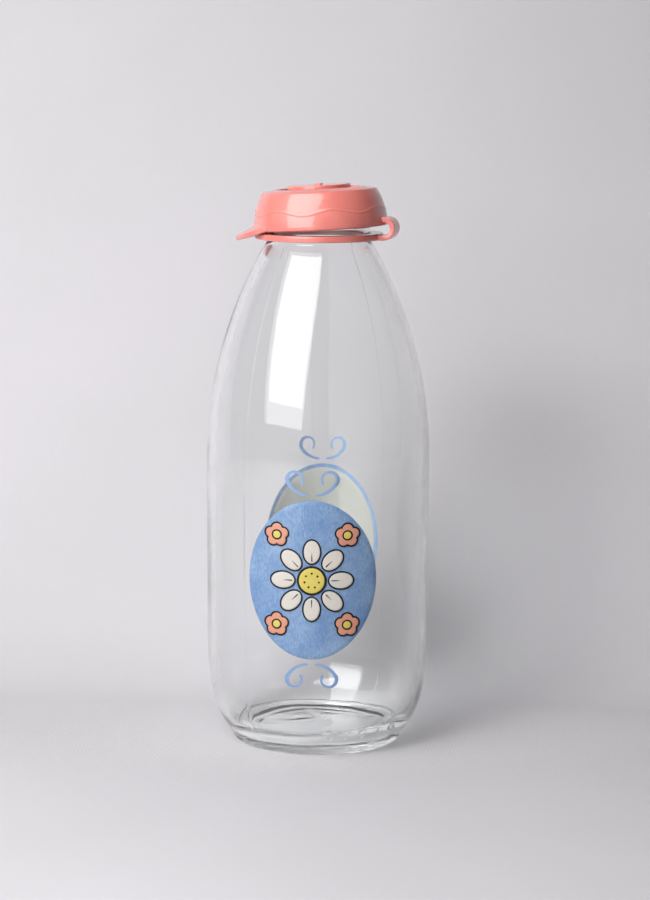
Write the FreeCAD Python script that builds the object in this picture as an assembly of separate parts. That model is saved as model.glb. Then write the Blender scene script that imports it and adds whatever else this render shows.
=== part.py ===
import FreeCAD, Part
import math
import os
from FreeCAD import Vector

# One-litre glass milk bottle with a tethered snap cap and a printed oval on two sides.
# Millimetres and degrees. The foot stands on Z = 0, the bottle's axis is Z,
# the front print faces -Y and the back print faces +Y.

# Glass: outside
BODY_RADIUS = 47.0
BOTTLE_HEIGHT = 229.7
FINISH_HEIGHT = 17.66
SHOULDER_RADIUS = 176.6
HEEL_START = 47.5
HEEL_BLEND_RADIUS = 206.0
HEEL_BLEND_TURN = 6.7
HEEL_RADIUS = 40.0
FOOT_HEIGHT = 4.0
FOOT_STEP = 0.8
FOOT_ROUND = 1.2
BEARING_WIDTH = 4.0
PUNT_DEPTH = 3.0

# Glass: wall, floor and neck finish
WALL = 3.0
BASE_THICKNESS = 4.5
FLOOR_CORNER = 9.0
BORE_RADIUS = 19.0
NECK_WALL = 2.3
LIP_STEP = 1.1
LIP_DEPTH = 10.0
LIP_ROUND = 1.5

# Retaining ring below the lip
RING_PLAY = 0.35
RING_LIFT = 0.2
RING_THICKNESS = 2.2
RING_INSET = 1.2
RING_CHAMFER = 0.5

# Cap, drawn in its own frame with the skirt's edge on zero
CAP_HEIGHT = 15.7
CAP_TILT = 3.3
SEAT_GAP = 0.3
CROWN_THICKNESS = 1.4
CROWN_RISE = 0.8
CROWN_PLAY = 0.5
CROWN_ROUND = 1.2
SKIRT_WALL = 1.4
SKIRT_SWEEP = 31.0
BEAD_HEIGHT = 6.0
BEAD_DEPTH = 1.2
PLUG_DEPTH = 4.2
PLUG_PLAY = 0.4
PLUG_TAPER = 0.9
PLUG_WALL = 1.2
GROOVE_WIDTH = 4.2
BOSS_RISE = 1.3
BOSS_CHAMFER = 0.5
GATE_RADIUS = 1.6
GATE_RISE = 0.5

# Thumb peak on the cap, opposite the hinge
PEAK_REACH = 8.3
PEAK_HALF_ANGLE = 51.0
PEAK_DROOP = 27.5
PEAK_THICKNESS = 1.9

# Live hinge: a strap bent into an outward loop from ring to skirt
HINGE_AZIMUTH = -12.0
STRAP_WIDTH = 9.0
STRAP_THICKNESS = 1.3
STRAP_ROOT_HEIGHT = 2.5
STRAP_SEAM = 0.1
HINGE_OUTSET = 5.2

# Printed ovals
OVAL_HEEL_LAP = 3.6
OVAL_HEIGHT = 65.8
OVAL_WIDTH = 52.0
BACKING_INSET = 1.6
INK_THICKNESS = 0.07
INK_GAP = 0.05
SKIN_MARGIN = 2.5

# Flowers on the oval
DAISY_PETALS = 8
PETAL_LENGTH = 9.5
PETAL_WIDTH = 6.6
DAISY_EYE_RADIUS = 5.2
EYE_RING_WIDTH = 0.9
EYE_CLEARANCE = 0.4
OUTLINE_WIDTH = 0.5
BLOSSOM_LOBES = 5
LOBE_RADIUS = 2.1
LOBE_REACH = 2.6
BLOSSOM_EYE_RADIUS = 1.5
BLOSSOM_SIDE_OFFSET = 14.4
BLOSSOM_RISE_OFFSET = 18.6

# Scrolls above and below the oval
SCROLL_STROKE = 1.3
SCROLL_OVAL_GAP = 2.2
SCROLL_SWEEP_RADIUS = 9.5
SCROLL_SWEEP_TURN = 62.0
SCROLL_CURL_RADIUS = 3.1
SCROLL_CURL_TURN = 250.0
SCROLL_SPACING = 1.6

Z_AXIS = Vector(0, 0, 1)
X_AXIS = Vector(1, 0, 0)
Y_AXIS = Vector(0, 1, 0)
ORIGIN = Vector(0, 0, 0)
ROUND_SHARE = 1 - math.sqrt(0.5)


def sine(degrees):
    return math.sin(math.radians(degrees))


def cosine(degrees):
    return math.cos(math.radians(degrees))


def tangent(degrees):
    return math.tan(math.radians(degrees))


def about(centre, radius, degrees):
    """Point (r, z) on a circle drawn in the half plane through the axis."""
    return centre[0] + radius * cosine(degrees), centre[1] + radius * sine(degrees)


class Outline:
    """A closed outline in the half plane through the axis, drawn edge by edge."""

    def __init__(self, start):
        self.points = [Vector(start[0], 0, start[1])]
        self.edges = []

    def line(self, end):
        target = Vector(end[0], 0, end[1])
        self.edges.append(Part.LineSegment(self.points[-1], target).toShape())
        self.points.append(target)

    def bend(self, middle, end):
        target = Vector(end[0], 0, end[1])
        arc = Part.Arc(self.points[-1], Vector(middle[0], 0, middle[1]), target)
        self.edges.append(arc.toShape())
        self.points.append(target)

    def arc(self, centre, radius, start_angle, end_angle):
        middle = about(centre, radius, (start_angle + end_angle) / 2)
        self.bend(middle, about(centre, radius, end_angle))

    def round_corner(self, corner, end):
        """Arc from the last point to end that rounds the corner between them."""
        start = self.points[-1]
        middle_r = corner[0] + ROUND_SHARE * (start.x + end[0] - 2 * corner[0])
        middle_z = corner[1] + ROUND_SHARE * (start.z + end[1] - 2 * corner[1])
        self.bend((middle_r, middle_z), end)

    def face(self):
        closing = Part.LineSegment(self.points[-1], self.points[0]).toShape()
        return Part.Face(Part.Wire(self.edges + [closing]))

    def revolve(self):
        return self.face().revolve(ORIGIN, Z_AXIS, 360)


# Glass values that other pieces share
NECK_RADIUS = BORE_RADIUS + NECK_WALL
LIP_RADIUS = NECK_RADIUS + LIP_STEP
NECK_START = BOTTLE_HEIGHT - FINISH_HEIGHT
NECK_ANGLE = math.degrees(math.acos(1 - (BODY_RADIUS - NECK_RADIUS) / SHOULDER_RADIUS))
SHOULDER_START = NECK_START - SHOULDER_RADIUS * sine(NECK_ANGLE)
SHOULDER_CENTRE = (BODY_RADIUS - SHOULDER_RADIUS, SHOULDER_START)
BLEND_CENTRE = (BODY_RADIUS - HEEL_BLEND_RADIUS, HEEL_START)
HEEL_CENTRE = about(BLEND_CENTRE, HEEL_BLEND_RADIUS - HEEL_RADIUS, -HEEL_BLEND_TURN)
LEDGE_ANGLE = math.degrees(math.asin((FOOT_HEIGHT - HEEL_CENTRE[1]) / HEEL_RADIUS))
LEDGE_RADIUS = HEEL_CENTRE[0] + HEEL_RADIUS * cosine(LEDGE_ANGLE)
FOOT_RADIUS = LEDGE_RADIUS - FOOT_STEP

# Heights of the print, which starts just below the straight wall, and of the skin its ink is cut from
OVAL_CENTRE = HEEL_START - OVAL_HEEL_LAP + OVAL_HEIGHT / 2
PRINT_REACH = OVAL_HEIGHT / 2 + SCROLL_OVAL_GAP + SCROLL_SWEEP_RADIUS + SKIN_MARGIN
SKIN_TOP = OVAL_CENTRE + PRINT_REACH
SKIN_BOTTOM = OVAL_CENTRE - PRINT_REACH
SKIN_HEEL_TURN = math.degrees(math.asin((HEEL_START - SKIN_BOTTOM) / HEEL_BLEND_RADIUS)) / 2


def glass_bottle():
    """The blown bottle: punt, foot, heel, straight body, one-arc shoulder and bead lip."""
    bearing_outer = FOOT_RADIUS - FOOT_ROUND
    bearing_inner = bearing_outer - BEARING_WIDTH
    punt_radius = (bearing_inner ** 2 + PUNT_DEPTH ** 2) / (2 * PUNT_DEPTH)
    punt_middle = bearing_inner / 2
    punt_fall = punt_radius - math.sqrt(punt_radius ** 2 - punt_middle ** 2)
    outline = Outline((0, PUNT_DEPTH))
    outline.bend((punt_middle, PUNT_DEPTH - punt_fall), (bearing_inner, 0))
    outline.line((bearing_outer, 0))
    outline.round_corner((FOOT_RADIUS, 0), (FOOT_RADIUS, FOOT_ROUND))
    outline.line((FOOT_RADIUS, FOOT_HEIGHT))
    outline.line((LEDGE_RADIUS, FOOT_HEIGHT))
    outline.arc(HEEL_CENTRE, HEEL_RADIUS, LEDGE_ANGLE, -HEEL_BLEND_TURN)
    outline.arc(BLEND_CENTRE, HEEL_BLEND_RADIUS, -HEEL_BLEND_TURN, 0)
    outline.line((BODY_RADIUS, SHOULDER_START))
    outline.arc(SHOULDER_CENTRE, SHOULDER_RADIUS, 0, NECK_ANGLE)
    lip_bottom = BOTTLE_HEIGHT - LIP_DEPTH
    outline.line((NECK_RADIUS, lip_bottom - LIP_STEP))
    outline.line((LIP_RADIUS, lip_bottom))
    outline.line((LIP_RADIUS, BOTTLE_HEIGHT - LIP_ROUND))
    outline.round_corner((LIP_RADIUS, BOTTLE_HEIGHT), (LIP_RADIUS - LIP_ROUND, BOTTLE_HEIGHT))
    outline.line((BORE_RADIUS + LIP_ROUND, BOTTLE_HEIGHT))
    outline.round_corner((BORE_RADIUS, BOTTLE_HEIGHT), (BORE_RADIUS, BOTTLE_HEIGHT - LIP_ROUND))
    inner_radius = BODY_RADIUS - WALL
    inner_shoulder = SHOULDER_RADIUS - WALL
    bore_angle = math.degrees(math.acos(1 - (inner_radius - BORE_RADIUS) / inner_shoulder))
    outline.line(about(SHOULDER_CENTRE, inner_shoulder, bore_angle))
    outline.arc(SHOULDER_CENTRE, inner_shoulder, bore_angle, 0)
    outline.line((inner_radius, HEEL_START))
    outline.arc(BLEND_CENTRE, HEEL_BLEND_RADIUS - WALL, 0, -HEEL_BLEND_TURN)
    inner_heel = HEEL_RADIUS - WALL
    floor = PUNT_DEPTH + BASE_THICKNESS
    corner_rise = floor + FLOOR_CORNER - HEEL_CENTRE[1]
    corner_reach = math.sqrt((inner_heel - FLOOR_CORNER) ** 2 - corner_rise ** 2)
    corner_centre = (HEEL_CENTRE[0] + corner_reach, floor + FLOOR_CORNER)
    corner_angle = math.degrees(math.atan2(corner_rise, corner_reach))
    outline.arc(HEEL_CENTRE, inner_heel, -HEEL_BLEND_TURN, corner_angle)
    outline.arc(corner_centre, FLOOR_CORNER, corner_angle, -90)
    outline.line((0, floor))
    return outline.revolve()


# Cap values that other pieces share, in the cap's own frame
CROWN_UNDERSIDE = CAP_HEIGHT - CROWN_THICKNESS
SKIRT_INNER_SWEEP = SKIRT_SWEEP - SKIRT_WALL
CROWN_INNER_RADIUS = LIP_RADIUS + CROWN_PLAY
SKIRT_CENTRE_RADIUS = CROWN_INNER_RADIUS - math.sqrt(SKIRT_INNER_SWEEP ** 2 - CROWN_UNDERSIDE ** 2)
SKIRT_CENTRE = (SKIRT_CENTRE_RADIUS, 0)
SKIRT_RADIUS = SKIRT_CENTRE_RADIUS + SKIRT_SWEEP
SEAT_RADIUS = LIP_RADIUS - LIP_ROUND
CAP_PIVOT_HEIGHT = BOTTLE_HEIGHT + SEAT_GAP + SEAT_RADIUS * sine(CAP_TILT)

# Ring values that other pieces share
RING_OUTER_RADIUS = SKIRT_RADIUS - RING_INSET
RING_BOTTOM = NECK_START + RING_LIFT
RING_MIDDLE = RING_BOTTOM + RING_THICKNESS / 2


def neck_ring():
    """Flat retaining ring that turns loosely on the neck under the lip."""
    inner = NECK_RADIUS + RING_PLAY
    top = RING_BOTTOM + RING_THICKNESS
    outline = Outline((inner, RING_BOTTOM))
    outline.line((RING_OUTER_RADIUS - RING_CHAMFER, RING_BOTTOM))
    outline.line((RING_OUTER_RADIUS, RING_BOTTOM + RING_CHAMFER))
    outline.line((RING_OUTER_RADIUS, top - RING_CHAMFER))
    outline.line((RING_OUTER_RADIUS - RING_CHAMFER, top))
    outline.line((inner, top))
    return outline.revolve()


def skirt_angle(height):
    """Angle on the skirt's outer sweep at a height in the cap's frame."""
    return math.degrees(math.asin(height / SKIRT_SWEEP))


def skirt_point(height, grow=0.0):
    """Point on the skirt's outer sweep, or on one grown outward."""
    return about(SKIRT_CENTRE, SKIRT_SWEEP + grow, skirt_angle(height))


def cap_turned():
    """Cap body of revolution: skirt, snap bead, crown, hollow plug, boss and gate mark."""
    plug_root = BORE_RADIUS - PLUG_PLAY
    plug_tip = plug_root - PLUG_TAPER
    plug_bottom = CROWN_UNDERSIDE - PLUG_DEPTH
    groove_outer = plug_root - PLUG_WALL
    groove_floor = plug_bottom + PLUG_WALL
    boss_radius = groove_outer - GROOVE_WIDTH
    crown_top = CAP_HEIGHT + CROWN_RISE
    boss_top = crown_top + BOSS_RISE
    outline = Outline((0, boss_top + GATE_RISE))
    outline.line((GATE_RADIUS - GATE_RISE, boss_top + GATE_RISE))
    outline.line((GATE_RADIUS, boss_top))
    outline.line((boss_radius - BOSS_CHAMFER, boss_top))
    outline.line((boss_radius, boss_top - BOSS_CHAMFER))
    outline.line((boss_radius, groove_floor))
    outline.line((plug_tip - PLUG_WALL, groove_floor))
    outline.line((groove_outer, crown_top))
    corner = skirt_point(CAP_HEIGHT)
    outline.line((corner[0] - CROWN_ROUND, CAP_HEIGHT))
    shoulder_height = CAP_HEIGHT - CROWN_ROUND
    outline.round_corner(corner, skirt_point(shoulder_height))
    outline.arc(SKIRT_CENTRE, SKIRT_SWEEP, skirt_angle(shoulder_height), 0)
    outline.line((SKIRT_RADIUS - SKIRT_WALL, 0))
    bead_angle = math.degrees(math.asin(BEAD_HEIGHT / SKIRT_INNER_SWEEP))
    bead_spread = math.degrees(BEAD_DEPTH / SKIRT_INNER_SWEEP)
    outline.arc(SKIRT_CENTRE, SKIRT_INNER_SWEEP, 0, bead_angle - bead_spread)
    outline.line(about(SKIRT_CENTRE, SKIRT_INNER_SWEEP - BEAD_DEPTH, bead_angle))
    outline.line(about(SKIRT_CENTRE, SKIRT_INNER_SWEEP, bead_angle + bead_spread))
    crown_angle = math.degrees(math.asin(CROWN_UNDERSIDE / SKIRT_INNER_SWEEP))
    outline.arc(SKIRT_CENTRE, SKIRT_INNER_SWEEP, bead_angle + bead_spread, crown_angle)
    outline.line((plug_root, CROWN_UNDERSIDE))
    outline.line((plug_tip, plug_bottom))
    recess_radius = boss_radius - PLUG_WALL
    outline.line((recess_radius, plug_bottom))
    outline.line((recess_radius, boss_top - CROWN_THICKNESS))
    outline.line((0, boss_top - CROWN_THICKNESS))
    return outline.revolve()


def thumb_peak():
    """Crescent peak on the skirt's edge: a drooping cone cut by an offset circle."""
    tip_radius = SKIRT_RADIUS + PEAK_REACH
    root_radius = SKIRT_RADIUS - SKIRT_WALL / 2
    depth = PEAK_THICKNESS / cosine(PEAK_DROOP)
    blank_radius = tip_radius + PEAK_THICKNESS
    root_rise = (SKIRT_RADIUS - root_radius) * tangent(PEAK_DROOP)
    blank_drop = (blank_radius - SKIRT_RADIUS) * tangent(PEAK_DROOP)
    outline = Outline((root_radius, root_rise))
    outline.line((blank_radius, -blank_drop))
    outline.line((blank_radius, depth - blank_drop))
    outline.line((root_radius, depth + root_rise))
    side = SKIRT_RADIUS * cosine(PEAK_HALF_ANGLE)
    spread = SKIRT_RADIUS * sine(PEAK_HALF_ANGLE)
    offset = (tip_radius ** 2 - side ** 2 - spread ** 2) / (2 * (tip_radius - side))
    crescent = Part.makeCylinder(
        tip_radius - offset, 4 * CAP_HEIGHT, Vector(-offset, 0, -2 * CAP_HEIGHT), Z_AXIS
    )
    front_half = Part.makeBox(
        2 * blank_radius, 4 * blank_radius, 4 * CAP_HEIGHT,
        Vector(-2 * blank_radius, -2 * blank_radius, -2 * CAP_HEIGHT),
    )
    return outline.revolve().common(crescent).common(front_half)


def seat_cap(shape):
    """Tilt a shape from the cap's frame onto the lip, hinge side up, and turn it to the hinge."""
    seated = shape.copy()
    seated.rotate(Vector(0, 0, CROWN_UNDERSIDE), Y_AXIS, -CAP_TILT)
    seated.translate(Vector(0, 0, CAP_PIVOT_HEIGHT - CROWN_UNDERSIDE))
    seated.rotate(ORIGIN, Z_AXIS, HINGE_AZIMUTH)
    return seated


def cap_shell():
    """The moulded cap, skirt to thumb peak, resting ajar on the lip."""
    moulding = cap_turned().fuse(thumb_peak()).removeSplitter()
    return seat_cap(moulding.Solids[0])


def strap_root():
    """Point (r, z) where the strap joins the skirt, in the hinge's upright plane."""
    radius, height = skirt_point(STRAP_ROOT_HEIGHT)
    rise = height - CROWN_UNDERSIDE
    reach = radius * cosine(CAP_TILT) - rise * sine(CAP_TILT)
    level = CAP_PIVOT_HEIGHT + radius * sine(CAP_TILT) + rise * cosine(CAP_TILT)
    return reach, level


def loop_centre():
    """Centre (r, z) of the strap's loop, midway between ring and skirt."""
    reach, level = strap_root()
    return reach, (level + RING_MIDDLE) / 2


def hinge_point():
    """A point on the cap's hinge axis, which runs level and square to the hinge plane."""
    centre = loop_centre()
    reach = centre[0] + HINGE_OUTSET
    return Vector(reach * cosine(HINGE_AZIMUTH), reach * sine(HINGE_AZIMUTH), centre[1])


def hinge_strap():
    """Bent strap from the ring's edge, out and over to the skirt, trimmed to both."""
    centre = loop_centre()
    loop_radius = strap_root()[1] - centre[1]
    outer = loop_radius + STRAP_THICKNESS / 2
    inner = loop_radius - STRAP_THICKNESS / 2
    inside = RING_OUTER_RADIUS - RING_INSET
    outline = Outline((inside, centre[1] - outer))
    outline.line((centre[0], centre[1] - outer))
    outline.arc(centre, outer, -90, 90)
    outline.line((inside, centre[1] + outer))
    outline.line((inside, centre[1] + inner))
    outline.line((centre[0], centre[1] + inner))
    outline.arc(centre, inner, 90, -90)
    outline.line((inside, centre[1] - inner))
    strap = outline.face().extrude(Y_AXIS * STRAP_WIDTH)
    strap.translate(Y_AXIS * (-STRAP_WIDTH / 2))
    strap.rotate(ORIGIN, Z_AXIS, HINGE_AZIMUTH)
    ring_height = RING_THICKNESS + 2 * STRAP_THICKNESS
    ring_blank = Part.makeCylinder(
        RING_OUTER_RADIUS + STRAP_SEAM, ring_height, Vector(0, 0, RING_MIDDLE - ring_height / 2)
    )
    skirt = Outline((0, 0))
    skirt.line(skirt_point(0, STRAP_SEAM))
    skirt.arc(SKIRT_CENTRE, SKIRT_SWEEP + STRAP_SEAM, 0, skirt_angle(CAP_HEIGHT))
    skirt.line((0, skirt_point(CAP_HEIGHT, STRAP_SEAM)[1]))
    return strap.cut(ring_blank).cut(seat_cap(skirt.revolve())).Solids[0]


def ink_skin(layer):
    """Skin one ink layer thick on the straight wall, with a cone tangent to the heel below it."""
    inner = INK_GAP + layer * (INK_THICKNESS + INK_GAP)
    outer = inner + INK_THICKNESS
    fold = tangent(SKIN_HEEL_TURN / 2)
    slope = tangent(SKIN_HEEL_TURN)
    corners = []
    for depth in (inner, outer):
        fold_height = HEEL_START - (HEEL_BLEND_RADIUS + depth) * fold
        wall = BODY_RADIUS + depth
        foot_radius = wall - (fold_height - SKIN_BOTTOM) * slope
        corners.append([(wall, SKIN_TOP), (wall, fold_height), (foot_radius, SKIN_BOTTOM)])
    outline = Outline(corners[0][0])
    for corner in corners[0][1:] + corners[1][::-1]:
        outline.line(corner)
    return outline.revolve()


def oval(width, height, centre=(0, 0), turn=0.0):
    """Flat elliptical face of the artwork, drawn on the XY plane."""
    if height >= width:
        ellipse = Part.Ellipse(ORIGIN, height / 2, width / 2).toShape()
        quarter = 90
    else:
        ellipse = Part.Ellipse(ORIGIN, width / 2, height / 2).toShape()
        quarter = 0
    face = Part.Face(Part.Wire([ellipse]))
    face.rotate(ORIGIN, Z_AXIS, quarter + turn)
    face.translate(Vector(centre[0], centre[1], 0))
    return face


def disc(radius, centre=(0, 0)):
    """Flat round face of the artwork."""
    circle = Part.Circle(Vector(centre[0], centre[1], 0), Z_AXIS, radius).toShape()
    return Part.Face(Part.Wire([circle]))


def blossom_places():
    """Centres of the four blossoms round the daisy."""
    return [
        (side * BLOSSOM_SIDE_OFFSET, rise * BLOSSOM_RISE_OFFSET)
        for rise in (1, -1)
        for side in (1, -1)
    ]


def daisy_petals(grow=0.0):
    """Separate petals round the daisy's eye, or the same grown by an outline's width."""
    inner = DAISY_EYE_RADIUS + EYE_RING_WIDTH + EYE_CLEARANCE + OUTLINE_WIDTH
    reach = inner + PETAL_LENGTH / 2
    petals = []
    for index in range(DAISY_PETALS):
        angle = 360 * index / DAISY_PETALS
        place = (reach * sine(angle), reach * cosine(angle))
        petals.append(oval(PETAL_WIDTH + 2 * grow, PETAL_LENGTH + 2 * grow, place, -angle))
    return petals


def blossoms(grow=0.0):
    """Lobed blossoms round the daisy, or the same grown by an outline's width."""
    flowers = []
    for place in blossom_places():
        lobes = [disc(LOBE_REACH, place)]
        for index in range(BLOSSOM_LOBES):
            angle = 360 * index / BLOSSOM_LOBES
            centre = (place[0] + LOBE_REACH * sine(angle), place[1] + LOBE_REACH * cosine(angle))
            lobes.append(disc(LOBE_RADIUS + grow, centre))
        flowers.append(lobes[0].multiFuse(lobes[1:]).removeSplitter().Faces[0])
    return flowers


def dark_lines():
    """Dark rings round the eyes of the flowers, and outlines round petals and blossoms."""
    lines = [disc(DAISY_EYE_RADIUS + EYE_RING_WIDTH).cut(disc(DAISY_EYE_RADIUS))]
    for place in blossom_places():
        outer = disc(BLOSSOM_EYE_RADIUS + OUTLINE_WIDTH, place)
        lines.append(outer.cut(disc(BLOSSOM_EYE_RADIUS, place)))
    grown = daisy_petals(OUTLINE_WIDTH) + blossoms(OUTLINE_WIDTH)
    for outer, inner in zip(grown, daisy_petals() + blossoms()):
        lines.append(outer.cut(inner))
    return lines


def flower_eyes():
    """Yellow eyes of the daisy and the blossoms."""
    return [disc(DAISY_EYE_RADIUS)] + [disc(BLOSSOM_EYE_RADIUS, place) for place in blossom_places()]


def scroll(direction):
    """Two mirrored scroll strokes that rise or fall from the oval's edge."""
    start = Vector(SCROLL_SPACING / 2 + SCROLL_STROKE / 2, OVAL_HEIGHT / 2 + SCROLL_OVAL_GAP, 0)
    sweep_centre = start + Vector(0, SCROLL_SWEEP_RADIUS, 0)
    sweep = [
        sweep_centre + Vector(sine(angle), -cosine(angle), 0) * SCROLL_SWEEP_RADIUS
        for angle in (0, SCROLL_SWEEP_TURN / 2, SCROLL_SWEEP_TURN)
    ]
    inward = (sweep_centre - sweep[-1]).normalize()
    curl_centre = sweep[-1] + inward * SCROLL_CURL_RADIUS
    curl = [
        curl_centre + Vector(sine(angle), -cosine(angle), 0) * SCROLL_CURL_RADIUS
        for angle in (SCROLL_SWEEP_TURN + SCROLL_CURL_TURN / 2, SCROLL_SWEEP_TURN + SCROLL_CURL_TURN)
    ]
    path = Part.Wire([Part.Arc(*sweep).toShape(), Part.Arc(sweep[-1], *curl).toShape()])
    right = path.makeOffset2D(SCROLL_STROKE / 2, 0, True, False, False)
    left = right.mirror(ORIGIN, X_AXIS)
    if direction > 0:
        return [right, left]
    return [stroke.mirror(ORIGIN, Y_AXIS) for stroke in (right, left)]


def print_ink(faces, layer):
    """Press flat artwork onto the front of the glass as one layer of ink."""
    flat = Part.makeCompound(faces)
    block = flat.extrude(Z_AXIS * (2 * BODY_RADIUS))
    block.rotate(ORIGIN, X_AXIS, 90)
    block.translate(Z_AXIS * OVAL_CENTRE)
    skin = ink_skin(layer)
    return Part.makeCompound([solid.common(skin).Solids[0] for solid in block.Solids])


def artwork():
    """Every layer of ink on one side, by name."""
    backing = oval(OVAL_WIDTH - 2 * BACKING_INSET, OVAL_HEIGHT - 2 * BACKING_INSET)
    return {
        "white_backing": print_ink([backing], 0),
        "blue_ground": print_ink([oval(OVAL_WIDTH, OVAL_HEIGHT)], 1),
        "white_petals": print_ink(daisy_petals(), 2),
        "pink_blossoms": print_ink(blossoms(), 2),
        "yellow_eyes": print_ink(flower_eyes(), 3),
        "dark_outlines": print_ink(dark_lines(), 3),
        "upper_scroll": print_ink(scroll(1), 0),
        "lower_scroll": print_ink(scroll(-1), 0),
    }


def all_pieces():
    """Every piece of the bottle, by node name."""
    pieces = {
        "glass_bottle": glass_bottle(),
        "neck_ring": neck_ring(),
        "hinge_strap": hinge_strap(),
        "cap_shell": cap_shell(),
    }
    for name, ink in artwork().items():
        pieces["front_" + name] = ink
        back = ink.copy()
        back.rotate(ORIGIN, Z_AXIS, 180)
        pieces["back_" + name] = back
    return pieces


os.makedirs("parts", exist_ok=True)
for node, shape in all_pieces().items():
    shape.exportStep(os.path.join("parts", node + ".step"))
    print(node, "solids", len(shape.Solids), "valid", shape.isValid(), "volume", round(shape.Volume, 2))
print("hinge point", [round(value, 3) for value in hinge_point()])
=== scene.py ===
import logging
import math
from dataclasses import asdict, dataclass, field
from enum import Enum, IntEnum
from typing import ClassVar, Sequence

import bmesh
import bpy
from mathutils import Matrix, Vector


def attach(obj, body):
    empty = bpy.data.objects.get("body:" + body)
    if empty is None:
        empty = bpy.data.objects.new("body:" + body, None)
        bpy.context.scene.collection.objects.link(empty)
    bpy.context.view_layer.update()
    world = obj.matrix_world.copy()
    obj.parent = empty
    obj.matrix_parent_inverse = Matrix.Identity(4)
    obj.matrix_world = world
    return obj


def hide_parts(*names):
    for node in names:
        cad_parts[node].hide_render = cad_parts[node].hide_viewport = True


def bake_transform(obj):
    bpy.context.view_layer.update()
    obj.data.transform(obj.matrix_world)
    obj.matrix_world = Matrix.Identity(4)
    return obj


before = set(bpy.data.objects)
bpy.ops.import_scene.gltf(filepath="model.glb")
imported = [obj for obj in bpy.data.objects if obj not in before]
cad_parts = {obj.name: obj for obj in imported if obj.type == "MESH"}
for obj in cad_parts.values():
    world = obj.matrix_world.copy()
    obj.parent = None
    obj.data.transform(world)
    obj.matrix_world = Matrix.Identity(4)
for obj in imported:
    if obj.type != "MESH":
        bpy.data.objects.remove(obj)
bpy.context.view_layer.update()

MM = 0.001
QUARTER = math.pi / 2
FULL_TURN = 2 * math.pi
ON_AXIS = 1e-9
ARC_POINTS = 4
MIDDLE = (0.0, 0.0)
Point2 = tuple[float, float]
Colour = tuple[float, float, float]
Display = tuple[int, int, int]
Ring = list[Vector]
Piece = bpy.types.Object
Node = bpy.types.Node
Socket = bpy.types.NodeSocket
Value = Socket | float | tuple

logging.basicConfig(level=logging.INFO, format="%(name)s: %(message)s")
log = logging.getLogger("milk_bottle")


def srgb(red: int, green: int, blue: int) -> Colour:
    """Linear colour for a display colour.

    Args:
        red: Red from 0 to 255.
        green: Green from 0 to 255.
        blue: Blue from 0 to 255.

    Returns:
        The same colour in linear light.
    """
    def linear(level: int) -> float:
        """Linear value of one channel."""
        share = level / 255
        return share / 12.92 if share <= 0.04045 else ((share + 0.055) / 1.055) ** 2.4

    return linear(red), linear(green), linear(blue)


def turns(count: int) -> list[float]:
    """Angles that part a full turn evenly."""
    return [FULL_TURN * index / count for index in range(count)]


def about(centre: Point2, radius: float, angle: float) -> Point2:
    """Point on a circle at an angle in radians."""
    return centre[0] + radius * math.cos(angle), centre[1] + radius * math.sin(angle)


def clock(radius: float, angle: float, middle: Point2 = MIDDLE) -> Point2:
    """Point on a circle at an angle clockwise from the top."""
    return middle[0] + radius * math.sin(angle), middle[1] + radius * math.cos(angle)


def between(start: Point2, end: Point2, share: float) -> Point2:
    """Place a share of the way from one place to another."""
    return start[0] + (end[0] - start[0]) * share, start[1] + (end[1] - start[1]) * share


def meeting(first: Point2, first_reach: float, second: Point2, second_reach: float) -> Point2:
    """Place on the right that has a given distance from each of two others.

    Args:
        first: One place.
        first_reach: Distance from it.
        second: The other place, below the first.
        second_reach: Distance from the other.

    Returns:
        The place at both distances.
    """
    base = Vector(first) - Vector(second)
    along = (second_reach ** 2 - first_reach ** 2 + base.length_squared) / (2 * base.length)
    across = math.sqrt(second_reach ** 2 - along ** 2)
    unit = base.normalized()
    return second[0] + unit.x * along + unit.y * across, second[1] + unit.y * along - unit.x * across


def smooth_step(value: float) -> float:
    """Ease from 0 to 1 as value goes from 0 to 1."""
    share = min(1.0, max(0.0, value))
    return share * share * (3 - 2 * share)


def sideways(path: Sequence[Point2], index: int) -> Vector:
    """Direction across a path at one of its points.

    Args:
        path: Points of the path.
        index: Number of the point.

    Returns:
        The unit vector to the left of the path there.
    """
    before = path[max(index - 1, 0)]
    after = path[min(index + 1, len(path) - 1)]
    along = Vector((after[0] - before[0], after[1] - before[1])).normalized()
    return Vector((-along.y, along.x))


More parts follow.
